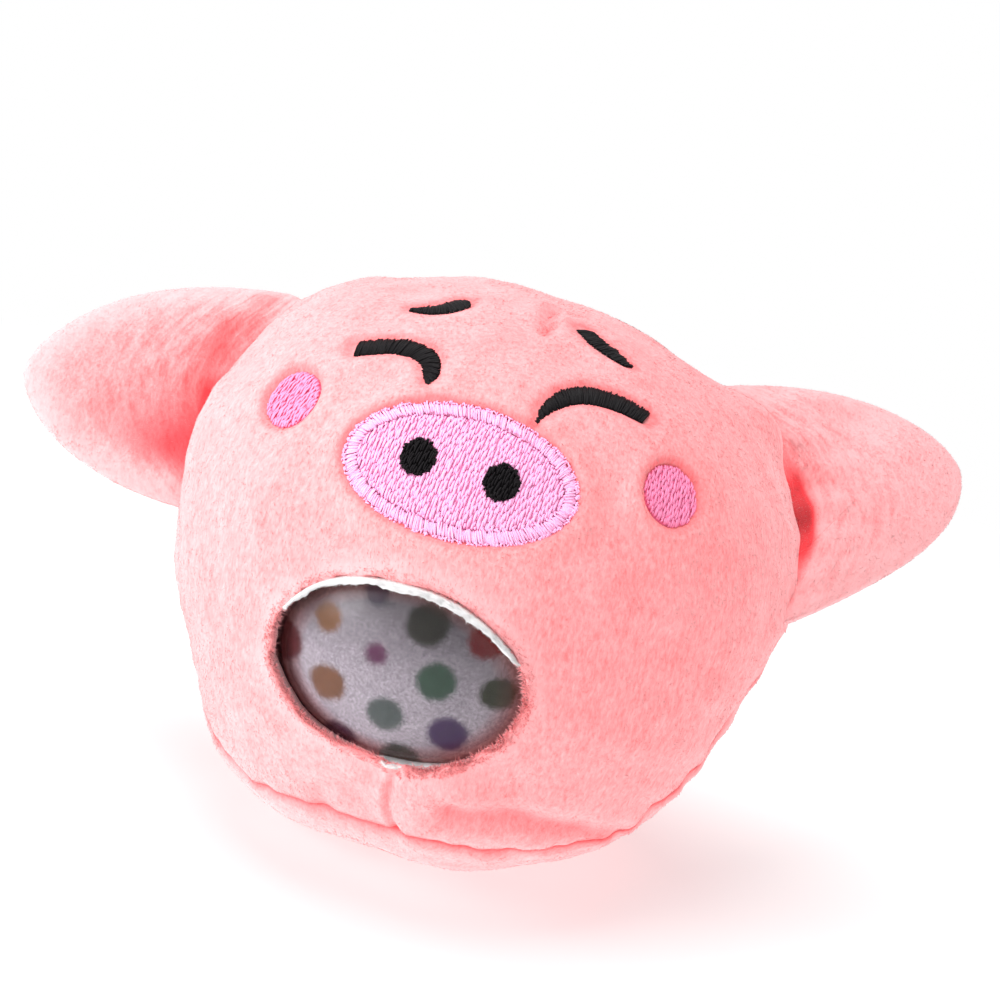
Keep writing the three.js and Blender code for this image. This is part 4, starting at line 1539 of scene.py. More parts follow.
@dataclass
class Ear:
    """A padded ear: a front and a back leaf of plush, sewn round their edge over wadding."""

    place: EarPlace
    longitude: float = 97.0
    half_root: float = 18.8
    length: float = 26.5
    wrap: float = 12.0
    lean: float = 16.0
    half_thickness: float = 4.2
    edge: float = 1.2
    leaf: float = 1.6
    slack: float = 0.25
    root_radius: float = 1.5
    cup: float = 2.0
    middle: float = 0.4
    tip_roundness: float = 0.74
    side_roundness: float = 1.2
    buried: float = 4.6
    softness: float = 6.0
    bend_from: float = -2.5
    bend_to: float = 6.0
    columns: int = 216
    rings: int = 44
    tufts: int = 15000

    @cached_property
    def axes(self) -> tuple[Array, Array, Array, Array]:
        """Origin, and the ways along, up the root and ahead."""
        sign = self.place.side.value
        origin = HEAD.unsettled(direction(sign * self.longitude, self.place.latitude), -(GAP + self.root_radius))
        turn = Matrix.Rotation(-np.radians(self.place.raised), 3, "Y")
        turn = turn @ Matrix.Rotation(np.radians(self.place.sweep), 3, "Z")
        turn = turn @ Matrix.Rotation(-np.radians(self.lean), 3, "X")
        along, up = np.array(turn.col[0]), np.array(turn.col[2])
        along[0] *= sign
        up[0] *= sign
        ahead = np.cross(along, up) * sign
        return origin, along, up * sign, ahead

    def put(self, a: Array, b: Array, c: Array) -> Array:
        """Points from how far out, how far up the root and how far ahead they are.

        Formula: origin + a along + b up + c ahead; past the seam, the other end dips to the head's middle.
        """
        origin, along, up, ahead = self.axes
        a, b, c = np.broadcast_arrays(a, b, c)
        points = origin + a[..., None] * along + b[..., None] * up + c[..., None] * ahead
        dip = self.place.end_sunk * smoothstep(-1.0, 5.0, self.root_at(b) - a) * smoothstep(-3.0, -12.0, b)
        return points - dip[..., None] * unit(points)

    def root_at(self, b: Array) -> Array:
        """How far out the sewn edge is: it reaches back round the head towards its two ends."""
        return -self.root_radius - self.wrap * (b / self.half_root) ** 2

    def buried_at(self, b: Array) -> Array:
        """How far in the ear goes on past its seam, further towards the end that the head's dent would bare."""
        return self.buried + 4.0 * (np.minimum(b, 0.0) / self.place.other_half) ** 2

    def outline(self) -> Pair:
        """Even points round the ear: a drawn-out half oval and the sewn edge.

        Returns:
            How far out and how far up the root each point is.
        """
        angle = np.linspace(-np.pi / 2, np.pi / 2, 400)
        half = np.where(angle > 0, self.half_root, self.place.other_half)
        drop = self.root_at(half) - self.buried_at(half * np.sign(angle))
        a = drop + (self.length - drop) * np.maximum(np.cos(angle), 0) ** self.tip_roundness
        flat = np.where(angle > 0, 0.0, self.place.other_flat) * np.sin(angle) ** 2 * np.cos(angle) / 0.385
        b = half * np.sign(np.sin(angle)) * np.abs(np.sin(angle)) ** self.side_roundness * (1 - flat)
        back = np.linspace(self.half_root, -self.place.other_half, 200)[1:-1]
        a = np.concatenate([a, self.root_at(back) - self.buried_at(back)])
        b = np.concatenate([b, back])
        a, b = np.append(a, a[0]), np.append(b, b[0])
        length = length_along(a, b)
        even = np.arange(self.columns) * length[-1] / self.columns
        return np.interp(even, length, a), np.interp(even, length, b)

    def from_edge(self, a: Array, b: Array) -> Array:
        """Distance to the free edge, from a chain of places along it."""
        a_edge, b_edge = self.outline()
        free = a_edge > self.root_at(b_edge) - self.buried_at(b_edge) + 0.6
        best = np.full(np.shape(a), 60.0)
        for x, y in zip(a_edge[free], b_edge[free]):
            best = np.minimum(best, np.hypot(a - x, b - y))
        return best

    def height(self, a: Array, b: Array, facing: int) -> Array:
        """Half thickness of the ear: it swells away from its free edge and pinches in at the root.

        Formula: edge + (half thickness - edge) (1 - exp(-distance / softness)), rounded off at the edge.

        Args:
            a: how far out.
            b: how far up the root.
            facing: 1 for the front leaf and -1 for the back one.

        Returns:
            Half thicknesses in millimetres.
        """
        distance = self.from_edge(a, b)
        crown = self.edge + (self.half_thickness - self.edge) * (1 - np.exp(-distance / self.softness))
        rounding = np.sqrt(np.clip(1 - np.clip(1 - distance / self.edge, 0, 1) ** 2, 0, 1))
        away = a - self.root_at(b)
        pinch = 0.4 + 0.6 * smoothstep(-1.0, self.place.pinch_reach, away)
        pinch = pinch * smoothstep(0.0, 0.6, away + self.buried_at(b))
        spot = np.stack([a, b, np.full(np.shape(a), 30.0 * facing)], -1)
        gathers = 0.3 * np.exp(-np.clip(away, 0, 40) / 9.0) * Ripple(6.0, 50).at(spot * [0.25, 1.0, 1.0])
        soft = 0.22 * Ripple(13.0, 51).at(spot) + 0.07 * Ripple(4.5, 52).at(spot)
        return (crown * pinch + (gathers + soft) * smoothstep(0.0, 3.0, distance)) * rounding

    def grid(self, facing: int, shares: Array, sink: float) -> Array:
        """Rows of points from the ear's middle outwards, on one leaf or under it.

        Args:
            facing: 1 for the front leaf and -1 for the back one.
            shares: how far towards the edge each row is, 0 to 1.
            sink: how deep under the leaf's surface, in millimetres.

        Returns:
            Rows by columns of points.
        """
        a_edge, b_edge = self.outline()
        middle = self.length * self.middle
        a = middle + shares[:, None] * (a_edge - middle)
        b = shares[:, None] * b_edge
        height = self.height(a, b, facing)
        height = np.maximum(height - sink, 0.1 * (shares[:, None] < 1)) if sink else height
        cup = self.cup * (a / self.length) * np.abs(a / self.length)
        return self.put(a, b, np.where(a > 0, cup, 0) + facing * (height + GAP / 8))

    def distance_out(self, points: Array) -> Array:
        """How far out from the sewn edge points lie."""
        origin, along, up, _ = self.axes
        offset = points - origin
        return offset @ along - self.root_at(np.clip(offset @ up, -self.place.other_half, self.half_root))

    def streaks(self, points: Array) -> dict[str, Array]:
        """How far out from the root and how far up it points are, which the finish's streaks read."""
        origin, _, up_way, _ = self.axes
        return {"out": self.distance_out(points), "up": (points - origin) @ up_way}

    def values(self, points: Array, facing: int) -> dict[str, Array]:
        """The finish's numbers: tip, tone, painted shading, and how far out from the root it is.

        Formula: painted shade by a bell of the distance out, more along the lower part of the root, and
        darker still in the crease; painted highlight and a paler tip towards the free edge.

        Args:
            points: in the head's frame, in millimetres.
            facing: 1 for the front leaf and -1 for the back one.

        Returns:
            The finish's numbers by name.
        """
        origin, along, _, _ = self.axes
        place = self.place
        out, up = self.streaks(points).values()
        near = bell(up - place.crease_at, place.crease_half)
        low = smoothstep(-2.0, 13.0, up) * smoothstep(24.0, 6.0, out)
        # Painted shade along the root, more along its lower part, and less on the back leaf.
        hollow = place.hollow * bell(np.maximum(out, 0.0), place.hollow_reach) * (0.8 + 0.3 * low)
        hollow = np.clip(hollow + place.low_hollow * low, 0, 1) * (1.0 if facing > 0 else 0.35)
        # Painted highlight along the free edge.
        edge = np.exp(-((self.from_edge((points - origin) @ along, up) / 4.0) ** 2))
        hollow = hollow * (1 - edge) - 0.55 * edge
        # Darker painted shade in the crease, on the front leaf.
        if facing > 0:
            hollow += place.crease * bell(np.maximum(out - 0.4, 0.0), 0.9) * near
        # The tip is painted paler or darker by the ear's painted brightness, and paler towards the free edge as
        # painted highlight.
        tip = 0.5 + place.inner_tone + (0.4 - place.inner_tone) * edge
        return {"tip": tip, "tone": 0.5 + 0 * tip, "hollow": hollow, "out": out, "up": up}

    def pole(self, facing: int, sink: float) -> Array:
        """The middle point of a leaf's surface or of one under it."""
        return self.grid(facing, np.array([1e-6]), sink)[0, 0]

    def shell(self, facing: int) -> tuple[Closed, Array]:
        """One leaf, its outer rows, then its inner rows and the two middles; and its outer rows alone."""
        shares = 1 - (1 - np.linspace(0, 1, self.rings + 1)[1:]) ** 1.35
        outer = self.grid(facing, shares, 0.0)
        inner = self.grid(facing, np.linspace(1, 0, 15)[1:-1] * 0.9, self.leaf)
        poles = [self.pole(facing, 0.0), self.pole(facing, self.leaf)]
        return capped(np.concatenate([outer, inner]), poles), outer

    def wadding(self) -> Closed:
        """The padding between the leaves: a crowned closed pad."""
        shares, sink = np.linspace(0, 0.74, 13)[1:], self.leaf + self.slack
        rows = np.concatenate([self.grid(1, shares, sink), self.grid(-1, shares[::-1], sink)])
        return capped(rows, [self.pole(1, sink), self.pole(-1, sink)])

    def build(self) -> None:
        """Both leaves, their pile and the wadding."""
        word = self.place.side.word
        origin, along, _, _ = self.axes
        plush = PlushFinish("plush_ear", ribbed=True)
        brush = along * 0.9 + np.array([0.0, 0.0, -0.35])
        pieces = []
        for layer, facing in (("front", 1), ("back", -1)):
            (points, faces), outer = self.shell(facing)
            leaf = new_piece(f"ear_{layer}_{word}_leaf", points, faces, self.values(points, facing))
            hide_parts(f"ear_{layer}_{word}")
            inside = self.put(self.length * self.middle, 0.0, -6.0 * facing)
            surface = Surface(outer, inside, hollow=self.values(outer, facing)["hollow"])
            pile = Pile(length=0.5, seed=60 + facing)
            pieces += [leaf, pile.grow(f"pile_ear_{layer}_{word}", surface, self.tufts, brush, self.streaks)]
        pad = new_piece(f"wadding_{word}", *self.wadding())
        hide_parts(f"ear_wadding_{word}")
        dress(pad, WADDING)
        for piece in pieces:
            dress(piece, plush)
        for piece in [*pieces, pad]:
            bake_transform(piece)


@dataclass(frozen=True)
class WindowBead:
    """A bead seen in the mouth: its node, its place across and up, its radius and its colour through the gel."""

    node: str
    across: float
    up: float
    radius: float
    colour: Colour

    @cached_property
    def spot(self) -> Array:
        """Its place in the world, in metres, straight along the way the ball moves."""
        return to_world(MOUTH.frame.place(self.across, self.up, 0.0))

    @property
    def finish(self) -> "GrainedFinish":
        """Its own finish, a slightly mottled plain colour."""
        low, high = (tuple(int(factor * c) for c in self.colour) for factor in (0.9, 1.05))
        return GrainedFinish(self.node, low, high, 900.0, 1.2, 0.4, relief=0.0, specular=0.3)


WINDOW_BEADS = (
    WindowBead("bead_ochre", -11.3, 4.5, 1.9, (123, 79, 32)),
    WindowBead("bead_grey_green", 2.5, 7.8, 2.8, (50, 52, 44)),
    WindowBead("bead_plum", -3.5, 2.0, 1.5, (95, 50, 80)),
    WindowBead("bead_orange", -9.6, -4.7, 2.5, (112, 76, 50)),
    WindowBead("bead_green", 5.3, 0.4, 2.6, (58, 84, 68)),
    WindowBead("bead_olive", 13.6, 0.1, 2.3, (52, 58, 40)),
    WindowBead("bead_teal", -0.8, -6.4, 2.5, (74, 86, 82)),
    WindowBead("bead_purple", 8.0, -7.3, 2.6, (62, 42, 80)),
    WindowBead("bead_navy", -7.0, -13.2, 2.6, (44, 26, 50)),
)
RIM_BEADS = (
    WindowBead("bead_rim_wine_left", -17.2, -1.5, 2.8, (92, 42, 46)),
    WindowBead("bead_rim_wine_right", 10.7, 7.2, 2.4, (116, 34, 36)),
    WindowBead("bead_rim_navy_top", -5.3, 10.2, 1.8, (50, 40, 60)),
    WindowBead("bead_rim_green_low", 2.0, -13.6, 2.8, (42, 56, 48)),
)


@dataclass
class Ball:
    """The gel ball behind the mouth: a frosted skin over milky gel that beads press up through."""

    centre: tuple[float, float] = (-0.6, -1.2)
    drop: float = 0.15
    drop_power: float = 3.0
    rise: float = 1.3
    press: float = 1.0
    tuck: float = 1.6
    reach: float = 1.2
    shade_centre: tuple[float, float] = (-0.6, -0.7)
    rings: int = 46
    columns: int = 120
    gel_depth: float = 8.0
    shell_rows: int = 48
    shell_clear: float = 2.6
    shell_slack: float = 0.2
    stretch: float = 5.2
    bead_rows: int = 17
    bead_columns: int = 28
    film: float = 0.6
    bead_gap: float = 0.42
    bead_shown: float = -0.36
    window_beads: tuple[WindowBead, ...] = WINDOW_BEADS
    rim_beads: tuple[WindowBead, ...] = RIM_BEADS

    def share(self, x: Array, y: Array, centre: tuple[float, float]) -> Array:
        """How far places are from a middle towards an oval as large as the mouth, where it is 1."""
        return np.hypot((x - centre[0]) / MOUTH.half_width, (y - centre[1]) / MOUTH.half_height)

    def dome(self, x: Array, y: Array, depth: Array | float) -> Array:
        """How far out the ball's skin lies in the mouth: the ball's own form, dropping away to the rim.

        Formula: the form's surface at that depth, plus rise times (1 - rho squared) down to 0, plus the
        height that it presses out between the lips, less drop times rho to a power, where rho is 1 on the
        rim, and less the tuck under the rest of the ball's skin.

        Args:
            x: places across.
            y: places up.
            depth: below the head's surface, in millimetres.

        Returns:
            Places out, in millimetres.
        """
        rho = self.share(x, y, self.centre)
        swell = self.rise * np.maximum(1 - rho**2, 0.0) - self.tuck * smoothstep(1.0, 1.14, rho)
        swell += self.press * smoothstep(1.06, 0.9, rho)
        return MOUTH.frame.outwards_at(x, y, depth) + swell - self.drop * rho**self.drop_power

    def plate(self, name: str, top: float, bottom: float | None, reach: float, thickness: float = 0.0) -> Piece:
        """A closed oval body behind the mouth with a domed top.

        Args:
            name: the piece's name.
            top: depth of its top below the head's even form.
            bottom: how far its flat bottom is below its top's middle, or nothing where it follows the top.
            reach: its size against the mouth's.
            thickness: between its top and a bottom that follows it.

        Returns:
            The piece.
        """
        turn = turns(self.columns)
        shares = np.linspace(0, 1, self.rings + 1)[1:] * reach
        rho = np.concatenate([shares, np.linspace(1, 0, 12)[:-1] * reach])
        x = self.centre[0] + rho[:, None] * MOUTH.half_width * np.cos(turn)
        y = self.centre[1] + rho[:, None] * MOUTH.half_height * np.sin(turn)
        out = self.dome(x, y, top)
        lower = np.arange(len(rho)) >= self.rings
        if bottom is None:
            out[lower] -= thickness
        else:
            out[lower] = float(self.dome(*self.centre, top)) - bottom
        grid = MOUTH.frame.place(x, y, out)
        across, up = (np.full(2, value) for value in self.centre)
        middle = self.dome(across, up, top)
        middle[1] -= thickness if bottom is None else bottom
        points, faces = capped(grid, MOUTH.frame.place(across, up, middle))
        # How far towards the rim about the shade centre, and how far up, which the gel's painted shade reads.
        near_rim = np.append(self.share(x, y, self.shade_centre).ravel(), [0.0, 0.0])
        level = np.append(y.ravel(), self.centre[1:] * 2)
        return new_piece(name, points, faces, {"rho": near_rim, "level": level})

    def bead(self, bead: WindowBead, replaces_node: bool) -> Piece:
        """A smooth bead just under the skin: a ball of rows and columns.

        Args:
            bead: its node, place, radius and colour.
            replaces_node: whether it stands for a node of its name.

        Returns:
            The piece, which has its finish.
        """
        step = np.array([0.0, 0.5, 0.0])
        near = self.dome(bead.across + step, bead.up + np.roll(step, 1), COVER + GAP + self.film + self.bead_gap)
        slope = np.hypot(1.0, np.hypot(near[1] - near[0], near[2] - near[0]) / 0.5)
        out = float(near[0]) - bead.radius * slope
        centre = MOUTH.frame.place(bead.across, bead.up, out)
        polar, turn = np.linspace(0, np.pi, self.bead_rows + 2)[1:-1, None], turns(self.bead_columns)
        shape = np.stack([np.sin(polar) * np.cos(turn), np.sin(polar) * np.sin(turn), np.cos(polar) + 0 * turn], -1)
        points, faces = capped(shape, np.array([[0, 0, 1.0], [0, 0, -1.0]]))
        points = centre + bead.radius * (points + 0.03 * Ripple(1.5, 70).at(points + bead.across)[:, None] * points)
        name = bead.node.replace("bead_", "window_bead_") if replaces_node else bead.node
        piece = new_piece(name, points, faces)
        if replaces_node:
            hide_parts(bead.node)
        piece.data.materials.append(bead.finish.material)
        return piece

    def shell(self) -> Piece:
        """The rest of the ball's skin: a closed cup from the hole behind the mouth to the back of the head.

        Returns:
            The piece.
        """
        start = MOUTH.dirs(turns(self.columns), -self.shell_clear, COVER + GAP)
        finish = -HEAD.unflared(MOUTH.frame.origin[None])[0][0]
        shares = np.linspace(0, 1, self.shell_rows + 1)[:-1]
        whole = np.arccos(start @ finish)
        part = np.sin(np.outer(1 - shares, whole)) / np.sin(whole)
        rest = np.sin(np.outer(shares, whole)) / np.sin(whole)
        dirs = unit(part[..., None] * start + rest[..., None] * finish)
        outside = COVER + GAP + self.shell_slack
        depths = (outside, outside + SKIN)
        outer, inner = (HEAD.point(dirs, depth) for depth in depths)
        grid = np.concatenate([outer[::-1], inner])
        points, faces = capped(grid, [HEAD.point(finish, depth) for depth in depths])
        values = {"rho": np.full(len(points), 0.4), "level": np.zeros(len(points))}
        return new_piece("ball_shell", points, faces, values)

    def build(self) -> None:
        """The skin, gel and beads in the mouth, and the rest of the ball."""
        skin = FrostedFinish("frosted_skin")
        gel = MilkyGelFinish("milky_gel", (*self.rim_beads, *self.window_beads))
        window = self.plate("window_skin", COVER + GAP, None, self.reach, self.film)
        under = COVER + GAP + self.film + self.bead_gap + self.bead_shown
        body = self.plate("window_gel", under, self.gel_depth, self.reach - 0.03)
        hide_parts("bulge_skin")
        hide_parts("bulge_gel")
        dress(window, skin)
        dress(body, gel)
        beads = [self.bead(bead, True) for bead in self.window_beads]
        beads += [self.bead(bead, False) for bead in self.rim_beads]
        face = HEAD.normal(direction(MOUTH.longitude, MOUTH.latitude))
        top = MOUTH.frame.place(np.zeros(1), np.zeros(1), self.dome(np.zeros(1), np.zeros(1), COVER + GAP))[0]
        for piece in [window, body, *beads]:
            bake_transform(piece)
        shell = self.shell()
        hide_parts("ball_skin")
        dress(shell, skin)
        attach(shell, "head")


SOCKET_KINDS = {tuple: "NodeSocketColor", float: "NodeSocketFloat"}
BLACK, WHITE = (0, 0, 0), (255, 255, 255)


def linear(colour: Sequence[float]) -> tuple[float, float, float, float]:
    """A colour of 0 to 255 as the linear values that shaders use.

    Formula: share / 12.92 where it is dark, else ((share + 0.055) / 1.055) to the power 2.4.

    Args:
        colour: red, green and blue from 0 to 255.

    Returns:
        Red, green, blue and an alpha of 1.
    """
    share = np.array(colour, float) / 255
    value = np.where(share <= 0.04045, share / 12.92, ((share + 0.055) / 1.055) ** 2.4)
    return (*map(float, value), 1.0)


class Effect:
    """A node group: an effect that more than one finish uses, built once and placed in each."""

    built: dict[str, bpy.types.NodeTree] = {}

    def __init__(self, name: str, inputs: dict[str, tuple | float], outputs: dict[str, type]) -> None:
        """Makes an empty group with its named sockets.

        Args:
            name: the group's name.
            inputs: each input's value while nothing feeds it, a tuple for a colour.
            outputs: tuple for each colour that it gives and float for each number.
        """
        self.tree = bpy.data.node_groups.new(name, "ShaderNodeTree")
        for key, value in inputs.items():
            socket = self.tree.interface.new_socket(key, in_out="INPUT", socket_type=SOCKET_KINDS[type(value)])
            socket.default_value = value
        for key, kind in outputs.items():
            self.tree.interface.new_socket(key, in_out="OUTPUT", socket_type=SOCKET_KINDS[kind])
        self.source = self.tree.nodes.new("NodeGroupInput").outputs
        self.result = self.tree.nodes.new("NodeGroupOutput").inputs
        Effect.built[name] = self.tree

    def give(self, **results: Socket) -> None:
        """Joins what the group gives to its named outputs."""
        for key, socket in results.items():
            self.tree.links.new(socket, self.result[key])


class Wiring:
    """Short calls for adding and joining nodes in one tree."""

    def __init__(self, tree: bpy.types.NodeTree) -> None:
        """Keeps the tree that the nodes go into."""
        self.tree = tree

    def feed(self, node: bpy.types.Node, inputs: dict[str, object]) -> bpy.types.Node:
        """Sets or joins a node's inputs.

        Args:
            node: the node.
            inputs: values, or the sockets that feed them, by socket name with _ for a space, or by in0, in1
                for a socket's number.

        Returns:
            The same node.
        """
        for key, value in inputs.items():
            number = key.removeprefix("in")
            socket = node.inputs[int(number) if number.isdigit() else key.replace("_", " ")]
            if isinstance(value, Socket):
                self.tree.links.new(value, socket)
            else:
                socket.default_value = value
        return node

    def add(self, kind: str, settings: dict | None = None, **inputs: object) -> bpy.types.Node:
        """A new node of a kind, with its settings and its inputs as feed takes them."""
        node = self.tree.nodes.new(kind)
        for key, value in (settings or {}).items():
            setattr(node, key, value)
        return self.feed(node, inputs)

    def place(self, group: str, **inputs: object) -> bpy.types.Node:
        """A placed effect with its own values."""
        return self.add("ShaderNodeGroup", {"node_tree": Effect.built[group]}, **inputs)

    def maths(self, operation: str, *values: object, clamp: bool = False) -> Socket:
        """The result of a math node."""
        inputs = {f"in{i}": value for i, value in enumerate(values)}
        return self.add("ShaderNodeMath", {"operation": operation, "use_clamp": clamp}, **inputs).outputs[0]

    def blend(self, factor: object, low: object, high: object) -> Socket:
        """A colour between two others."""
        return self.add("ShaderNodeMix", {"data_type": "RGBA"}, in0=factor, in6=low, in7=high).outputs[2]

    def scaled(self, colour: Socket, factor: Socket) -> Socket:
        """A colour made darker or lighter by a factor."""
        return self.add("ShaderNodeVectorMath", {"operation": "SCALE"}, in0=colour, Scale=factor).outputs[0]

    def off_centre(self, value: object, amount: object, start: object, clamp: bool = False) -> Socket:
        """A start plus how far a value is from a half, times an amount."""
        change = self.maths("MULTIPLY", self.maths("SUBTRACT", value, 0.5), amount)
        return self.maths("ADD", start, change, clamp=clamp)

    def spread(
        self, value: object, low: float, high: float, to_low: float = 0.0, to_high: float = 1.0, step: str = "LINEAR"
    ) -> Socket:
        """A value carried from one range to another, clamped."""
        ends = {"in1": low, "in2": high, "in3": to_low, "in4": to_high}
        return self.add("ShaderNodeMapRange", {"interpolation_type": step}, in0=value, **ends).outputs[0]

    def noise(self, vector: object, scale: object, detail: float = 3.0, roughness: float = 0.55) -> Socket:
        """Noise between 0 and 1 in the given coordinates."""
        inputs = {"Vector": vector, "Scale": scale, "Detail": detail, "Roughness": roughness}
        return self.add("ShaderNodeTexNoise", {}, **inputs).outputs[0]

    def object_place(self) -> Socket:
        """Where a point is on its own piece, in metres."""
        return self.add("ShaderNodeTexCoord").outputs["Object"]

    def numbers(self, *keys: str) -> list[Socket]:
        """The numbers that the piece's points hold under these names."""
        return [self.add("ShaderNodeAttribute", {"attribute_name": key}).outputs["Fac"] for key in keys]

    def grain(self, scale: float, contrast: float, low: Colour = BLACK, high: Colour = WHITE) -> tuple[Socket, Socket]:
        """A placed fine grain: its colour between two others, and its value."""
        node = self.place("fine_grain", Low=linear(low), High=linear(high), Scale=scale, Contrast=contrast)
        return node.outputs["Color"], node.outputs["Value"]

    def bump(self, height: Socket, distance: float) -> Socket:
        """A normal from a height, with its distance in millimetres."""
        return self.add("ShaderNodeBump", {}, Height=height, Distance=distance * MM).outputs[0]

    def principled(self, **inputs: object) -> Socket:
        """The shader that every finish ends in."""
        return self.add("ShaderNodeBsdfPrincipled", {}, **inputs).outputs[0]

    def seen(self) -> Socket:
        """1 for the camera's rays and those that glossy or clear pieces pass on, 0 for soft light."""
        path = self.add("ShaderNodeLightPath").outputs
        direct = self.maths("MAXIMUM", path["Is Camera Ray"], path["Is Glossy Ray"])
        return self.maths("MAXIMUM", direct, path["Is Transmission Ray"])


def build_nap() -> None:
    """The effect of brushed pile: clumps, fibres and patches shade it, and painted shade makes its hollows deep and
    warm.

    Formula: the shade is the tip's value plus, for each noise, its distance from a half times its strength;
    it goes from the deep colour at 0 to the light one at 1. Painted shading from 0 to 1 goes to the shading
    colour as painted shade and from 1 to 2 darker still, and below 0 to the light colour as painted highlight.
    """
    nap = Effect(
        "brushed_nap",
        {
            "Light": linear(WHITE), "Deep": linear(BLACK), "Hollow Color": linear(BLACK),
            "Tip": 0.5, "Tone": 0.5, "Hollow": 0.0, "Ribs": 0.0,
        },
        {"Color": tuple, "Height": float},
    )
    wire = Wiring(nap.tree)
    take = nap.source
    place = wire.object_place()
    stretched = wire.add("ShaderNodeMapping", {}, Vector=place, Scale=(1.0, 1.0, 0.42)).outputs[0]
    clumps = wire.noise(stretched, 1000.0, 3.0, 0.6)
    patches = wire.noise(place, 130.0, 3.0, 0.6)
    fibre = wire.noise(stretched, 2300.0, 2.0, 0.6)
    shade = take["Tip"]
    for value, strength in ((clumps, 0.85), (fibre, 1.3), (patches, 0.6), (take["Tone"], 0.3)):
        shade = wire.off_centre(value, strength, shade)
    shade = wire.maths("ADD", shade, wire.maths("MULTIPLY", take["Ribs"], 0.6), clamp=True)
    colour = wire.blend(shade, take["Deep"], take["Light"])
    # Painted shade towards the shading colour, painted highlight towards the light colour below 0, and darker painted
    # shade from 1 to 2.
    colour = wire.blend(take["Hollow"], colour, take["Hollow Color"])
    colour = wire.blend(wire.spread(take["Hollow"], 0.0, -1.0), colour, take["Light"])
    colour = wire.scaled(colour, wire.spread(take["Hollow"], 1.0, 2.0, 1.0, 0.3))
    height = wire.maths("ADD", wire.maths("MULTIPLY", clumps, 0.5), wire.maths("MULTIPLY", fibre, 0.5))
    nap.give(Color=colour, Height=wire.maths("ADD", height, wire.maths("MULTIPLY", take["Ribs"], 0.8)))


def build_grain() -> None:
    """The effect of a fine grain: noise between two colours, its contrast drawn out from a half."""
    grain = Effect(
        "fine_grain",
        {"Low": linear(BLACK), "High": linear(WHITE), "Scale": 400.0, "Contrast": 1.0},
        {"Color": tuple, "Value": float},
    )
    wire = Wiring(grain.tree)
    take = grain.source
    noise = wire.noise(wire.object_place(), take["Scale"], 4.0, 0.6)
    value = wire.off_centre(noise, take["Contrast"], 0.5, clamp=True)
    grain.give(Color=wire.blend(value, take["Low"], take["High"]), Value=value)


def new_material(name: str, shade: Callable[[Wiring], Socket]) -> bpy.types.Material:
    """A material that holds only its shader's nodes and an output.

    Args:
        name: the material's name.
        shade: builds the shader's nodes and gives the shader.

    Returns:
        The new material.
    """
    made = bpy.data.materials.new(name)
    made.use_nodes = True
    made.node_tree.nodes.clear()
    wire = Wiring(made.node_tree)
    wire.add("ShaderNodeOutputMaterial", {}, Surface=shade(wire))
    return made


@dataclass(frozen=True)
class Finish:
    """A material by name, built the first time it is asked for."""

    slot: str

    @property
    def material(self) -> bpy.types.Material:
        """The finish's material."""
        name = f"{self.slot}_finish"
        return bpy.data.materials.get(name) or new_material(name, self.shade)

    def shade(self, wire: Wiring) -> Socket:
        """Builds the finish's nodes, in the way that each finish says.

        Args:
            wire: the material's wiring.

        Returns:
            The shader.
        """
        raise NotImplementedError


@dataclass(frozen=True)
class PlushFinish(Finish):
    """Short salmon-pink pile: pale at its tips, deep and warm between them."""

    light: Colour = (255, 180, 182)
    deep: Colour = (254, 128, 130)
    # The colour of the painted shade in seams, creases and ear roots.
    hollow: Colour = (250, 74, 80)
    sheen: Colour = (255, 226, 228)
    ribbed: bool = False
    rib_spacing: float = 0.75
    rib_reach: float = 20.0

    def ribs(self, wire: Wiring) -> Socket:
        """Streaks along the ear's root: noise that changes fast outwards and slowly along it, fading outwards.

        Args:
            wire: the material's wiring.

        Returns:
            The streaks, above and below 0.
        """
        out, up = wire.numbers("out", "up")
        place = wire.add("ShaderNodeCombineXYZ", {}, X=out, Y=wire.maths("MULTIPLY", up, 0.3)).outputs[0]
        streaks = wire.maths("SUBTRACT", wire.noise(place, 0.5 / self.rib_spacing, 2.0), 0.5)
        return wire.maths("MULTIPLY", streaks, wire.spread(out, 0.3 * self.rib_reach, self.rib_reach, 3.2, 0.5))

    def shade(self, wire: Wiring) -> Socket:
        """Brushed nap with its painted shading, over a matt base with a soft sheen."""
        tip, tone, hollow = wire.numbers("tip", "tone", "hollow")
        nap = wire.place(
            "brushed_nap", Light=linear(self.light), Deep=linear(self.deep), Hollow_Color=linear(self.hollow),
            Tip=tip, Tone=tone, Hollow=hollow, Ribs=self.ribs(wire) if self.ribbed else 0.0,
        )
        return wire.principled(
            Base_Color=nap.outputs["Color"], Roughness=0.9, Normal=wire.bump(nap.outputs["Height"], 0.16),
            Sheen_Weight=0.6, Sheen_Roughness=0.45, Sheen_Tint=linear(self.sheen), Specular_IOR_Level=0.1,
        )


@dataclass(frozen=True)
class ThreadFinish(Finish):
    """Shiny embroidery thread, with painted shade in the gaps between its strands and low on each strand."""

    light: Colour
    deep: Colour
    specular: float = 0.2
    roughness: float = 0.5
    recorded: str = ""

    def shade(self, wire: Wiring) -> Socket:
        """A colour from how high on its strand a point is, painted shade low down, with fine grain and a soft gloss.
        """
        (strand,) = wire.numbers("strand")
        _, grain = wire.grain(1500.0, 1.2)
        # Painted shade low on each strand and in the gaps between strands, towards the deep colour.
        value = wire.off_centre(grain, 0.5, wire.spread(strand, -0.7, 0.6), clamp=True)
        return wire.principled(
            Base_Color=wire.blend(value, linear(self.deep), linear(self.light)), Roughness=self.roughness,
            Normal=wire.bump(grain, 0.05), Specular_IOR_Level=self.specular,
        )


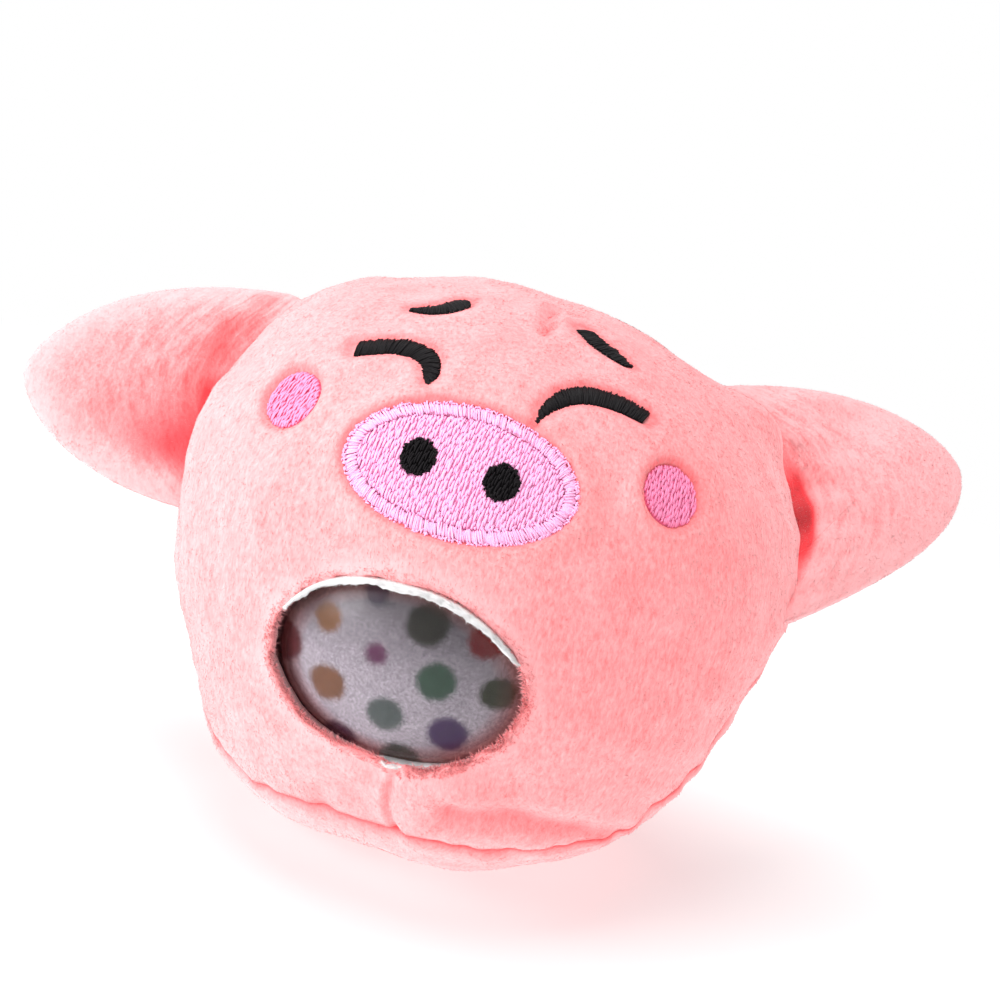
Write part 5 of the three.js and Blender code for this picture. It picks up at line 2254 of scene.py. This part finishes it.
PINK_THREAD = ThreadFinish("pink_thread", (255, 180, 222), (250, 146, 200))
CHEEK_THREAD = ThreadFinish("cheek_thread", (255, 149, 190), (247, 106, 160), recorded="pink_thread")
PALE_THREAD = ThreadFinish("pale_pink_thread", (253, 186, 225), (247, 154, 203), 0.25)
BLACK_THREAD = ThreadFinish("black_thread", (12, 8, 11), (3, 2, 3), 0.1)


@dataclass(frozen=True)
class GrainedFinish(Finish):
    """A plain material with a fine grain between two colours; matt pale rubber where nothing else is given.

    Attributes:
        low: its darker colour.
        high: its lighter colour.
        scale: how fine the grain is.
        contrast: how strong the grain is.
        roughness: how matt it is.
        relief: height of its bump in millimetres, 0 for none.
        sheen: how much it shines at its edges.
        specular: how glossy it is.
    """

    low: Colour = (206, 202, 204)
    high: Colour = (232, 229, 230)
    scale: float = 600.0
    contrast: float = 1.0
    roughness: float = 0.55
    relief: float = 0.05
    sheen: float = 0.0
    specular: float = 0.5

    def height(self, wire: Wiring, grain: Socket) -> Socket:
        """What the bump follows: the grain itself."""
        return grain

    def shade(self, wire: Wiring) -> Socket:
        """The grained colour, with the bump and the sheen."""
        colour, grain = wire.grain(self.scale, self.contrast, self.low, self.high)
        bumped = {"Normal": wire.bump(self.height(wire, grain), self.relief)} if self.relief else {}
        return wire.principled(
            Base_Color=colour, Roughness=self.roughness, Sheen_Weight=self.sheen, Specular_IOR_Level=self.specular,
            **bumped,
        )


@dataclass(frozen=True)
class KnitFinish(GrainedFinish):
    """White knit backing, whose bump is the small loops of the knit."""

    def height(self, wire: Wiring, grain: Socket) -> Socket:
        """What the bump follows: the cells of the loops."""
        return wire.add("ShaderNodeTexVoronoi", {}, Scale=1800.0).outputs[0]


PLUG_RUBBER = GrainedFinish("plug_rubber")
DEEP_GEL = GrainedFinish("deep_gel", (158, 152, 158), (186, 181, 185))
WADDING = GrainedFinish("wadding", (226, 224, 218), (250, 249, 246), 500.0, 1.8, 0.95, 0.5, 0.3)
KNIT = KnitFinish("knit_backing", (244, 240, 240), WHITE, 900.0, 1.6, 0.85, sheen=0.2)


@dataclass(frozen=True)
class FrostedFinish(Finish):
    """The ball's frosted clear skin, which lets lamps through to the gel."""

    low: Colour = (204, 199, 203)
    high: Colour = (255, 252, 255)
    let_through: Colour = (228, 222, 226)
    roughness: float = 0.26
    index: float = 1.22

    def shade(self, wire: Wiring) -> Socket:
        """Rough glass with a fine grain, mixed with a see-through shader for rays from lamps."""
        colour, grain = wire.grain(2200.0, 1.6, self.low, self.high)
        glass = wire.principled(
            Base_Color=colour, Roughness=self.roughness, IOR=self.index, Transmission_Weight=1.0,
            Normal=wire.bump(grain, 0.03),
        )
        from_lamp = wire.add("ShaderNodeLightPath").outputs["Is Shadow Ray"]
        clear = wire.add("ShaderNodeBsdfTransparent", {}, Color=linear(self.let_through)).outputs[0]
        return wire.add("ShaderNodeMixShader", {}, in0=from_lamp, in1=glass, in2=clear).outputs[0]


@dataclass(frozen=True)
class MilkyGelFinish(Finish):
    """Cloudy gel, grey-lilac in the middle, with painted shade towards the rim and the top, and the beads' soft spots
    in it.
    """

    beads: tuple[WindowBead, ...] = ()
    low: Colour = (142, 140, 145)
    high: Colour = (180, 177, 181)
    # The colour of the painted shade towards the rim.
    dark: Colour = (160, 100, 94)
    soft_in: float = 0.75
    soft_out: float = 0.6
    larger: float = 1.08

    def shade(self, wire: Wiring) -> Socket:
        """A soft colour with painted shade by the rho and level attributes, and a spot for each bead.

        Formula: a spot's share is a soft step down from 1 to 0 across the bead's edge, of the distance
        from its middle across the way the ball moves.
        """
        rho, level = wire.numbers("rho", "level")
        _, fine = wire.grain(2400.0, 2.8)
        colour, _ = wire.grain(160.0, 1.4, self.low, self.high)
        place = wire.object_place()
        across = wire.add("ShaderNodeVectorMath", {"operation": "MULTIPLY"}, in0=place, in1=(1.0, 0.0, 1.0)).outputs[0]
        wobble = wire.off_centre(wire.noise(place, 500.0), 0.8 * MM, 0.0)
        wobble = wire.off_centre(wire.noise(place, 2600.0), 1.3 * MM, wobble)
        # Painted shade towards the top of the mouth, under the lip.
        colour = wire.scaled(colour, wire.spread(level, -1.0, 9.0, 1.0, 0.48))
        # Painted shade towards the rim.
        colour = wire.blend(wire.spread(rho, 0.76, 1.03), colour, linear(self.dark))
        for bead in self.beads:
            middle = (float(bead.spot[0]), 0.0, float(bead.spot[2]))
            away = wire.add("ShaderNodeVectorMath", {"operation": "DISTANCE"}, in0=across, in1=middle).outputs["Value"]
            radius = bead.radius * self.larger
            inner, outer = (radius - self.soft_in) * MM, (radius + self.soft_out) * MM
            spot = wire.spread(wire.maths("ADD", away, wobble), inner, outer, 1.0, 0.0, "SMOOTHSTEP")
            colour = wire.blend(spot, colour, linear(bead.colour))
        # Painted shade towards the top again, over the spots too, and a little painted light at the bottom.
        colour = wire.scaled(colour, wire.spread(level, -8.0, 9.0, 1.05, 0.62))
        # Painted rim shade again, over the spots.
        colour = wire.blend(wire.spread(rho, 0.76, 1.03, 0.0, 0.3), colour, linear(self.dark))
        colour = wire.scaled(colour, wire.spread(fine, 0.0, 1.0, 0.76, 1.22))
        return wire.principled(Base_Color=colour, Roughness=0.5, Specular_IOR_Level=0.1)


def dress(piece: Piece, finish: Finish) -> None:
    """Gives a piece its finish's material.

    Args:
        piece: the piece.
        finish: its finish.
    """
    piece.data.materials.clear()
    piece.data.materials.append(finish.material)


def dress_hidden_nodes() -> None:
    """Gives the hidden pieces that stay as they are their own finishes."""
    finishes = {bead.node: bead.finish for bead in WINDOW_BEADS} | {"clear_gel": DEEP_GEL}
    slots = {row["node"]: row["material_slot"] for row in frame["record"]["subparts"]}
    for name, node in frame["nodes"].items():
        if not node.hide_render:
            node.data.materials.clear()
            node.data.materials.append(finishes.get(slots.get(name, ""), PLUG_RUBBER).material)
            LOG.info("%s keeps its shape", name)


@dataclass(frozen=True)
class Lamp:
    """A square soft lamp that looks at the head: its place and size in metres, and its power in watts."""

    name: str
    place: tuple[float, float, float]
    size: float
    power: float

    def build(self) -> None:
        """Hangs the lamp in the scene."""
        data = bpy.data.lights.new(self.name, "AREA")
        data.shape, data.size, data.energy = "SQUARE", self.size, self.power
        lamp = linked(self.name, data)
        aim = Vector((0, 0, MIDDLE_HEIGHT * MM)) - Vector(self.place)
        lamp.matrix_world = Matrix.Translation(self.place) @ aim.to_track_quat("-Z", "Y").to_matrix().to_4x4()


@dataclass
class Studio:
    """A white floor, soft lamps and the camera at the photograph's angle, whose sizes are those of its picture."""

    azimuth: float = 7.0
    distance: float = 480.0
    roll: float = 14.55
    picture: float = 1000.0
    focal_pixels: float = 3290.0
    middle_x: float = 478.7
    middle_y: float = 547.7
    sensor: float = 36.0
    floor_half: float = 4.0
    ambient: float = 0.46
    tint: tuple[float, float, float] = (0.95, 0.975, 1.0)
    lamps: tuple[Lamp, ...] = (
        Lamp("key_lamp", (-1.12, -0.52, 0.42), 0.8, 14.5),
        Lamp("fill_lamp", (0.9, -0.8, 0.2), 0.8, 0.8),
        Lamp("top_lamp", (-0.1, 0.1, 1.1), 0.8, 11.5),
        Lamp("low_lamp", (-0.5, -0.6, 0.06), 0.18, 1.6),
    )

    def camera(self) -> None:
        """The camera: a fitted place in the head's level plane, turned about its own axis."""
        az, roll = np.radians(self.azimuth), np.radians(self.roll)
        back = world_vector([np.sin(az), -np.cos(az), 0.0])
        right = world_vector([np.cos(az), np.sin(az), 0.0])
        up = back.cross(right)
        turned_right = right * np.cos(roll) + up * np.sin(roll)
        turned_up = up * np.cos(roll) - right * np.sin(roll)
        data = bpy.data.cameras.new("camera")
        data.sensor_width = self.sensor
        data.lens = self.focal_pixels / self.picture * self.sensor
        data.shift_x = (self.picture / 2 - self.middle_x) / self.picture
        data.shift_y = (self.middle_y - self.picture / 2) / self.picture
        data.clip_start, data.clip_end = 0.01, 20.0
        camera = linked("camera", data)
        place = Vector(to_world(np.zeros(3))) + back * self.distance * MM
        turn = Matrix((turned_right, turned_up, back)).transposed().to_4x4()
        camera.matrix_world = Matrix.Translation(place) @ turn
        bpy.context.scene.camera = camera

    def floor_shade(self, wire: Wiring) -> Socket:
        """White that glows more away from the toy, where the camera sees it, and lights the toy where it doesn't.

        Args:
            wire: the floor's wiring.

        Returns:
            The shader.
        """
        away = wire.add("ShaderNodeVectorMath", {"operation": "LENGTH"}, in0=wire.object_place()).outputs["Value"]
        seen = wire.seen()
        matt = wire.add("ShaderNodeBsdfDiffuse", {}, Color=(0.95, 0.95, 0.95, 1)).outputs[0]
        glow = wire.spread(seen, 0.0, 1.0, 1.65, 1.0)
        white = wire.add("ShaderNodeEmission", {}, Color=(1, 1, 1, 1), Strength=glow).outputs[0]
        share = wire.maths("MULTIPLY", wire.spread(away, 0.07, 0.22, 0.45, 1.0), seen)
        share = wire.maths("ADD", share, wire.maths("SUBTRACT", 1.0, seen))
        return wire.add("ShaderNodeMixShader", {}, in0=share, in1=matt, in2=white).outputs[0]

    def floor(self) -> None:
        """A wide floor that fades to plain white away from the toy, for the camera alone."""
        half = self.floor_half
        mesh = bpy.data.meshes.new("floor")
        corners = [(-half, -half, 0.0), (half, -half, 0.0), (half, half, 0.0), (-half, half, 0.0)]
        mesh.from_pydata(corners, [], [(0, 1, 2, 3)])
        linked("floor", mesh)
        mesh.materials.append(new_material("floor", self.floor_shade))

    def world(self) -> None:
        """A world that is white to look at and lights the toy softly with a faint tint."""
        world = bpy.data.worlds.new("studio")
        bpy.context.scene.world = world
        world.use_nodes = True
        world.node_tree.nodes.clear()
        wire = Wiring(world.node_tree)
        colour = wire.blend(wire.seen(), (*(self.ambient * share for share in self.tint), 1.0), (1, 1, 1, 1))
        light = wire.add("ShaderNodeBackground", {}, Color=colour, Strength=1.0).outputs[0]
        wire.add("ShaderNodeOutputWorld", {}, Surface=light)

    def build(self) -> None:
        """Camera, floor, lamps and world."""
        self.camera()
        self.floor()
        for lamp in self.lamps:
            lamp.build()
        self.world()
        bpy.context.scene.view_settings.view_transform = "Standard"


def main() -> None:
    """Builds the toy's pieces in order, then the studio."""
    logging.basicConfig(level=logging.INFO, format="%(name)s: %(message)s")
    build_nap()
    build_grain()
    Cover().build()
    MouthBacking().build()
    Embroidery().build()
    for place in EAR_PLACES:
        Ear(place).build()
    Ball().build()
    dress_hidden_nodes()
    Studio().build()


if __name__ == "__main__":
    main()
